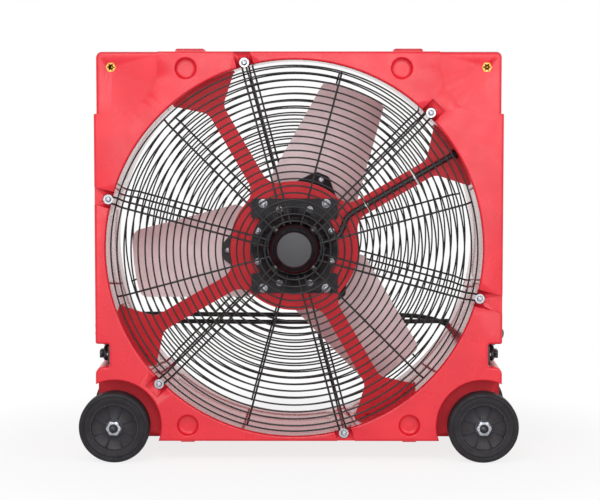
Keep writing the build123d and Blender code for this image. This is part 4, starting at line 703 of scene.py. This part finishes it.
def solids_of(node):
    """The low and high corner of each separate solid of a CAD node, in millimetres."""
    shape = bmesh.new()
    shape.from_mesh(NODES[node].data)
    bmesh.ops.remove_doubles(shape, verts=shape.verts, dist=0.005 * MM)
    boxes = []
    for start in shape.verts:
        if start.tag:
            continue
        start.tag = True
        group = [start]
        for vert in group:
            for edge in vert.link_edges:
                other = edge.other_vert(vert)
                if not other.tag:
                    other.tag = True
                    group.append(other)
        low = Vector([min(vert.co[i] for vert in group) for i in range(3)]) / MM
        high = Vector([max(vert.co[i] for vert in group) for i in range(3)]) / MM
        boxes.append((low, high))
    shape.free()
    return boxes


def recessed(shape, bars, height):
    """Cuts bars into the front of a screw's head, one after the other: (length, depth, width, turn)."""
    for length, depth, width, turn in bars:
        bar = block(length, depth, width, 0.02)
        place = Matrix.Translation(point(0, -height, 0)) @ Matrix.Rotation(math.radians(turn), 4, "Y")
        shape = cut(shape, placed(bar, place))
    return shape


def pan_head(head, height, shank, grip, recess, flange=0):
    """Screw along Y: its head stands ahead of depth 0 and its shank runs behind it."""
    crown = head - flange
    outline = [(0, -height), (crown * 0.45, -height * 0.98), (crown * 0.74, -height * 0.86),
               (crown * 0.92, -height * 0.62), (crown, -height * 0.3)]
    outline += [(head - flange * 0.15, -height * 0.26)] if flange else []
    outline += [(head, -height * 0.1), (head, 0), (shank, 0), (shank, grip), (0, grip)]
    slot = [(head * 3, height * 0.9, head * 0.2, 0)]
    cross = [(crown * 1.05, height * 1.2, crown * 0.24, turn) for turn in (0, 90)]
    return recessed(lathe(outline, 28), slot if recess == "slot" else cross, height)


def screws_in_place(node, head_height, shank, recess, first_turn=0, flange=0, heading=None):
    """Detailed screws for a CAD node: each takes the place and the size of one of its solids."""
    shape = bmesh.new()
    screw = None
    for number, (low, high) in enumerate(solids_of(node)):
        middle = (low + high) / 2
        away = heading or ("front" if middle.y < 0 else "rear")
        side = {"front": 0, "rear": 180, "side": 90 if middle.x > 0 else -90}[away]
        along, across = (0, 2) if away == "side" else (1, 2)
        if screw is None:
            length, head = high[along] - low[along], (high[across] - low[across]) / 2
            screw = pan_head(head, head_height, shank, length - head_height, recess, flange)
        tip = middle.copy()
        outer = high[along] if side in (90, 180) else low[along]
        tip[along] = outer + (-head_height if side in (90, 180) else head_height)
        place = Matrix.Translation(point(*tip)) @ Matrix.Rotation(math.radians(side), 4, "Z")
        join(shape, screw, place @ Matrix.Rotation(math.radians(first_turn + SCREW_TURN * number), 4, "Y"))
    screw.free()
    piece = finished(shape, "made_" + node, BODY_OF[node], ZINC, SLOT_OF[node])
    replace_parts(piece, node)


screws_in_place("front_guard_screws", 3.6, 2.4, "cross")
screws_in_place("rear_guard_screws", 3.6, 2.4, "cross")
screws_in_place("mount_plate_screws", 4, 4, "slot", 40, flange=1.6)
screws_in_place("motor_screws", 4, 2.5, "cross", 12, flange=1.2, heading="front")
screws_in_place("blade_screws", 4, 3, "cross", 20, heading="front")
screws_in_place("hook_screws", 2.5, 2, "cross", heading="side")


# ---- motor cap, lead and small trim --------------------------------------------------------------
CAP_REACH = 45
CAP_WALL = 3
CAP_ARM_DEPTH = -136.5       # middle of the arms that hold the cap on the motor
LEAD_DEPTH = -70.45
LEAD_ROOT = 4.8
LEAD_CREST = 5.4
LEAD_PITCH = 3.6
LEG_ANGLE = 30               # of the support leg that carries the lead
TIE_PLACES = (151, 252)      # from the fan axis
KNOB_FACE = (335, 173.4, 577)
COIL_COUNT = 24
COIL_RADIUS = 40.2
COIL_THICKNESS = 6.8
COIL_SWELL = 0.1             # share by which the ring swells at each coil
THREAD_PITCH = 1.5


def motor_cap():
    """Front cover: flat face, rounded shoulder, skirt and four arms to the motor."""
    low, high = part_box("motor_cap")
    front, back = low.y / MM, high.y / MM
    outline = [(0, front), (29.6, front), (30.7, front + 0.25), (31.5, front + 1.1), (32, front + 2.2)]
    outline += [(33.2, front + 3.6), (35.4, front + 5.2), (38, front + 7), (40.4, front + 9.2),
                (42.2, front + 12), (43, front + 12.6), (43.9, front + 14.6), (CAP_REACH, front + 17.2),
                (CAP_REACH, back), (CAP_REACH - CAP_WALL, back), (CAP_REACH - CAP_WALL, front + 18),
                (30, front + CAP_WALL), (0, front + CAP_WALL)]
    shape = lathe(outline, 96)
    arm = block(14, 5, 9, 1)
    bmesh.ops.translate(arm, verts=arm.verts, vec=point(CAP_REACH + 3, CAP_ARM_DEPTH, 0))
    for i in range(4):
        join(shape, arm, Matrix.Rotation(math.radians(-45 - 90 * i), 4, "Y"))
    arm.free()
    return placed(shape, Matrix.Translation(FAN))


def coil_ends():
    """Winding ends on both sides of the core: a ring that swells at each coil."""
    shape = bmesh.new()
    ends = sorted({round((low.y + high.y) / 2, 2) for low, high in solids_of("stator_windings")})
    for depth in ends:
        coil = ring(COIL_RADIUS, 0, COIL_THICKNESS, COIL_COUNT * 8, 16)
        for vert in coil.verts:
            turn = math.atan2(vert.co.z, vert.co.x)
            spine = point(COIL_RADIUS * math.cos(turn), 0, COIL_RADIUS * math.sin(turn))
            vert.co = spine + (vert.co - spine) * (1 + COIL_SWELL * math.cos(COIL_COUNT * turn))
        join(shape, coil, Matrix.Translation((FAN.x, depth * MM, FAN.z)))
        coil.free()
    return shape


def tie_locks():
    """Square lock of each cable tie, with its cut end, on the front of the lead."""
    shape = bmesh.new()
    for place in TIE_PLACES:
        lock = block(5.6, 3.4, 5, 0.5)
        end = block(3.4, 1.1, 9, 0.3)
        join(lock, end, Matrix.Translation(point(0, 0.4, 5)))
        end.free()
        join(shape, lock, fan_turn(LEG_ANGLE) @ Matrix.Translation(point(place, LEAD_DEPTH - 7.4, 0)))
        lock.free()
    return shape


def insert_threads():
    """Thread ridges inside the four brass inserts."""
    shape = bmesh.new()
    for low, high in solids_of("brass_inserts"):
        outline = [(4.3, low.y + 0.5)]
        depth = low.y + 0.5
        while depth + THREAD_PITCH < high.y:
            outline += [(4.24, depth), (3.9, depth + THREAD_PITCH / 2)]
            depth += THREAD_PITCH
        outline += [(4.24, depth), (4.3, depth), (4.3, low.y + 0.5)]
        middle = (low + high) / 2
        thread = lathe(outline, 24)
        join(shape, thread, Matrix.Translation(point(middle.x, 0, middle.z)))
        thread.free()
    return shape


def conduit_route():
    """Along the motor's side, across to the support leg and out along it, round the fan axis."""
    out = [fan_point(radius, LEAD_DEPTH, LEG_ANGLE) for radius in (110, 140, 349)]
    return [fan_point(56.2, -98, 11.25), fan_point(79, -98, 11.25), fan_point(94, -84, 21)] + out


def stations(points, step):
    """Places and headings at even steps along a smooth line with the given control points."""
    curve = line_of(points, resolution=24)
    holder = bpy.data.objects.new("line", curve)
    mesh = bpy.data.meshes.new_from_object(holder)
    line = [vert.co.copy() for vert in mesh.vertices]
    bpy.data.objects.remove(holder)
    bpy.data.curves.remove(curve)
    bpy.data.meshes.remove(mesh)
    travelled, due = 0.0, 0.0
    for start, end in zip(line, line[1:]):
        span = (end - start).length
        while span and due <= travelled + span:
            yield start.lerp(end, (due - travelled) / span), (end - start).normalized()
            due += step
        travelled += span


def ribbed_tube(points, root, crest, pitch, sides=16):
    """A conduit along a line, its wall stepping in and out once a pitch."""
    shape = bmesh.new()
    turn, heading_before, loop_before = None, None, None
    for number, (place, heading) in enumerate(stations(points, pitch / 4 * MM)):
        if turn is None:
            turn = Vector((0, 0, 1)).rotation_difference(heading)
        else:
            turn = heading_before.rotation_difference(heading) @ turn
        radius = crest if number % 4 < 2 else root
        verts = bmesh.ops.create_circle(shape, segments=sides, radius=radius * MM)["verts"]
        loop = list(dict.fromkeys(edge for vert in verts for edge in vert.link_edges))
        bmesh.ops.transform(shape, verts=verts, matrix=Matrix.Translation(place) @ turn.to_matrix().to_4x4())
        if loop_before:
            bmesh.ops.bridge_loops(shape, edges=loop_before + loop)
        else:
            bmesh.ops.edgeloop_fill(shape, edges=loop)
        heading_before, loop_before = heading, loop
    bmesh.ops.edgeloop_fill(shape, edges=loop_before)
    bmesh.ops.recalc_face_normals(shape, faces=shape.faces)
    return shape


lead_shape = ribbed_tube(conduit_route(), LEAD_ROOT, LEAD_CREST, LEAD_PITCH)
lead = finished(lead_shape, "ribbed_lead", "frame", CONDUIT, "black_rubber", 50)
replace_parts(lead, "motor_lead")
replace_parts(finished(motor_cap(), "domed_cap", "frame", CAP_ABS, "black_plastic", 30), "motor_cap")
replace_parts(finished(coil_ends(), "coil_ends", "frame", COPPER, "copper"), "stator_windings")
finished(tie_locks(), "tie_locks", "frame", WHITE_NYLON, "white_nylon")
finished(insert_threads(), "insert_threads", "frame", BRASS, "brass", 60)


def pointer_line():
    """The line printed on the knob's face, pointing up at rest."""
    return placed(block(1.6, 0.4, 8, 0.1), Matrix.Translation(point(*KNOB_FACE) + point(0, 0.05, 5)))


finished(pointer_line(), "pointer_line", "switch", WHITE_PAINT, None)


# ---- the CAD nodes that keep their shape ---------------------------------------------------------
SHAPED_HERE = {"front_guard", "rear_guard", "front_guard_screws", "rear_guard_screws", "mount_plate_screws",
               "motor_screws", "blade_screws", "hook_screws", "motor_lead", "motor_cap",
               "stator_windings", "power_cord", "power_plug", "plug_pins"}
DARK_STEEL = {"axle_studs", "axle_washers"}
for node in NODES:
    if node not in SHAPED_HERE:
        smoothed(node, THREAD_STEEL if node in DARK_STEEL else FINISH_OF_SLOT[SLOT_OF[node]])


# ---- floor and light -----------------------------------------------------------------------------
def shown(tree):
    """1 for rays that show a surface itself: seen directly, mirrored or through something clear."""
    rays = add_node(tree, "ShaderNodeLightPath")
    direct = add_node(tree, "ShaderNodeMath", {}, {0: rays.outputs["Is Camera Ray"],
                                                  1: rays.outputs["Is Glossy Ray"]}, operation="MAXIMUM")
    both = add_node(tree, "ShaderNodeMath", {}, {0: direct.outputs["Value"],
                                                1: rays.outputs["Is Transmission Ray"]}, operation="MAXIMUM")
    return both.outputs["Value"]


def studio_floor():
    """Pale paper sweep: it keeps the shadow round the wheels and fades to plain white further out."""
    finish, tree, shader, place = new_finish("pale_paper", Roughness=0.9)
    shader.inputs["Base Color"].default_value = colour(FLOOR_HEX)
    away = add_node(tree, "ShaderNodeVectorMath", {}, {0: place}, operation="LENGTH")
    fade = add_node(tree, "ShaderNodeMapRange", {"From Min": SHADOW_REACH, "From Max": WHITE_REACH,
                                                    "To Min": SHADOW_LIFT},
                    {"Value": away.outputs["Value"]}, interpolation_type="SMOOTHSTEP")
    share = add_node(tree, "ShaderNodeMath", {}, {0: fade.outputs["Result"], 1: shown(tree)},
                     operation="MULTIPLY")
    white = add_node(tree, "ShaderNodeEmission", {"Color": (1, 1, 1, 1), "Strength": 1.0})
    mix = add_node(tree, "ShaderNodeMixShader", {}, {0: share.outputs["Value"], 1: shader.outputs["BSDF"],
                                                    2: white.outputs["Emission"]})
    tree.links.new(mix.outputs["Shader"], tree.nodes["Material Output"].inputs["Surface"])
    shape = bmesh.new()
    bmesh.ops.create_grid(shape, x_segments=1, y_segments=1, size=FLOOR_HALF)
    mesh = bpy.data.meshes.new("studio_floor")
    shape.to_mesh(mesh)
    shape.free()
    mesh.materials.append(finish)
    floor = bpy.data.objects.new("studio_floor", mesh)
    bpy.context.scene.collection.objects.link(floor)


def studio_world():
    """Even surroundings: soft grey-white light, plain white where they are seen or mirrored."""
    world = bpy.data.worlds.new("studio")
    bpy.context.scene.world = world
    world.use_nodes = True
    tree = world.node_tree
    level = add_node(tree, "ShaderNodeMapRange", {"To Min": WORLD_LEVEL, "To Max": 1.0},
                     {"Value": shown(tree)})
    surroundings = tree.nodes["Background"]
    surroundings.inputs["Color"].default_value = (1, 1, 1, 1)
    tree.links.new(level.outputs["Result"], surroundings.inputs["Strength"])


def softbox(name, place, target, width, height, power):
    """A rectangular light turned towards a point."""
    light = bpy.data.lights.new(name, "AREA")
    light.shape = "RECTANGLE"
    light.size = width
    light.size_y = height
    light.energy = power
    lamp = bpy.data.objects.new(name, light)
    lamp.location = place
    lamp.rotation_euler = (Vector(target) - Vector(place)).to_track_quat("-Z", "Y").to_euler()
    bpy.context.scene.collection.objects.link(lamp)


studio_floor()
studio_world()
softbox("key", (-0.9, -2.6, 2.6), (0, 0, 0.4), 2.2, 1.6, 46)
softbox("fill", (1.8, -2.4, 1.4), (0, 0, 0.4), 1.6, 1.6, 18)
softbox("front", (0.1, -4.2, 1.0), (0, 0, 0.38), 2.0, 2.0, 50)
bpy.context.scene.view_settings.view_transform = "Standard"
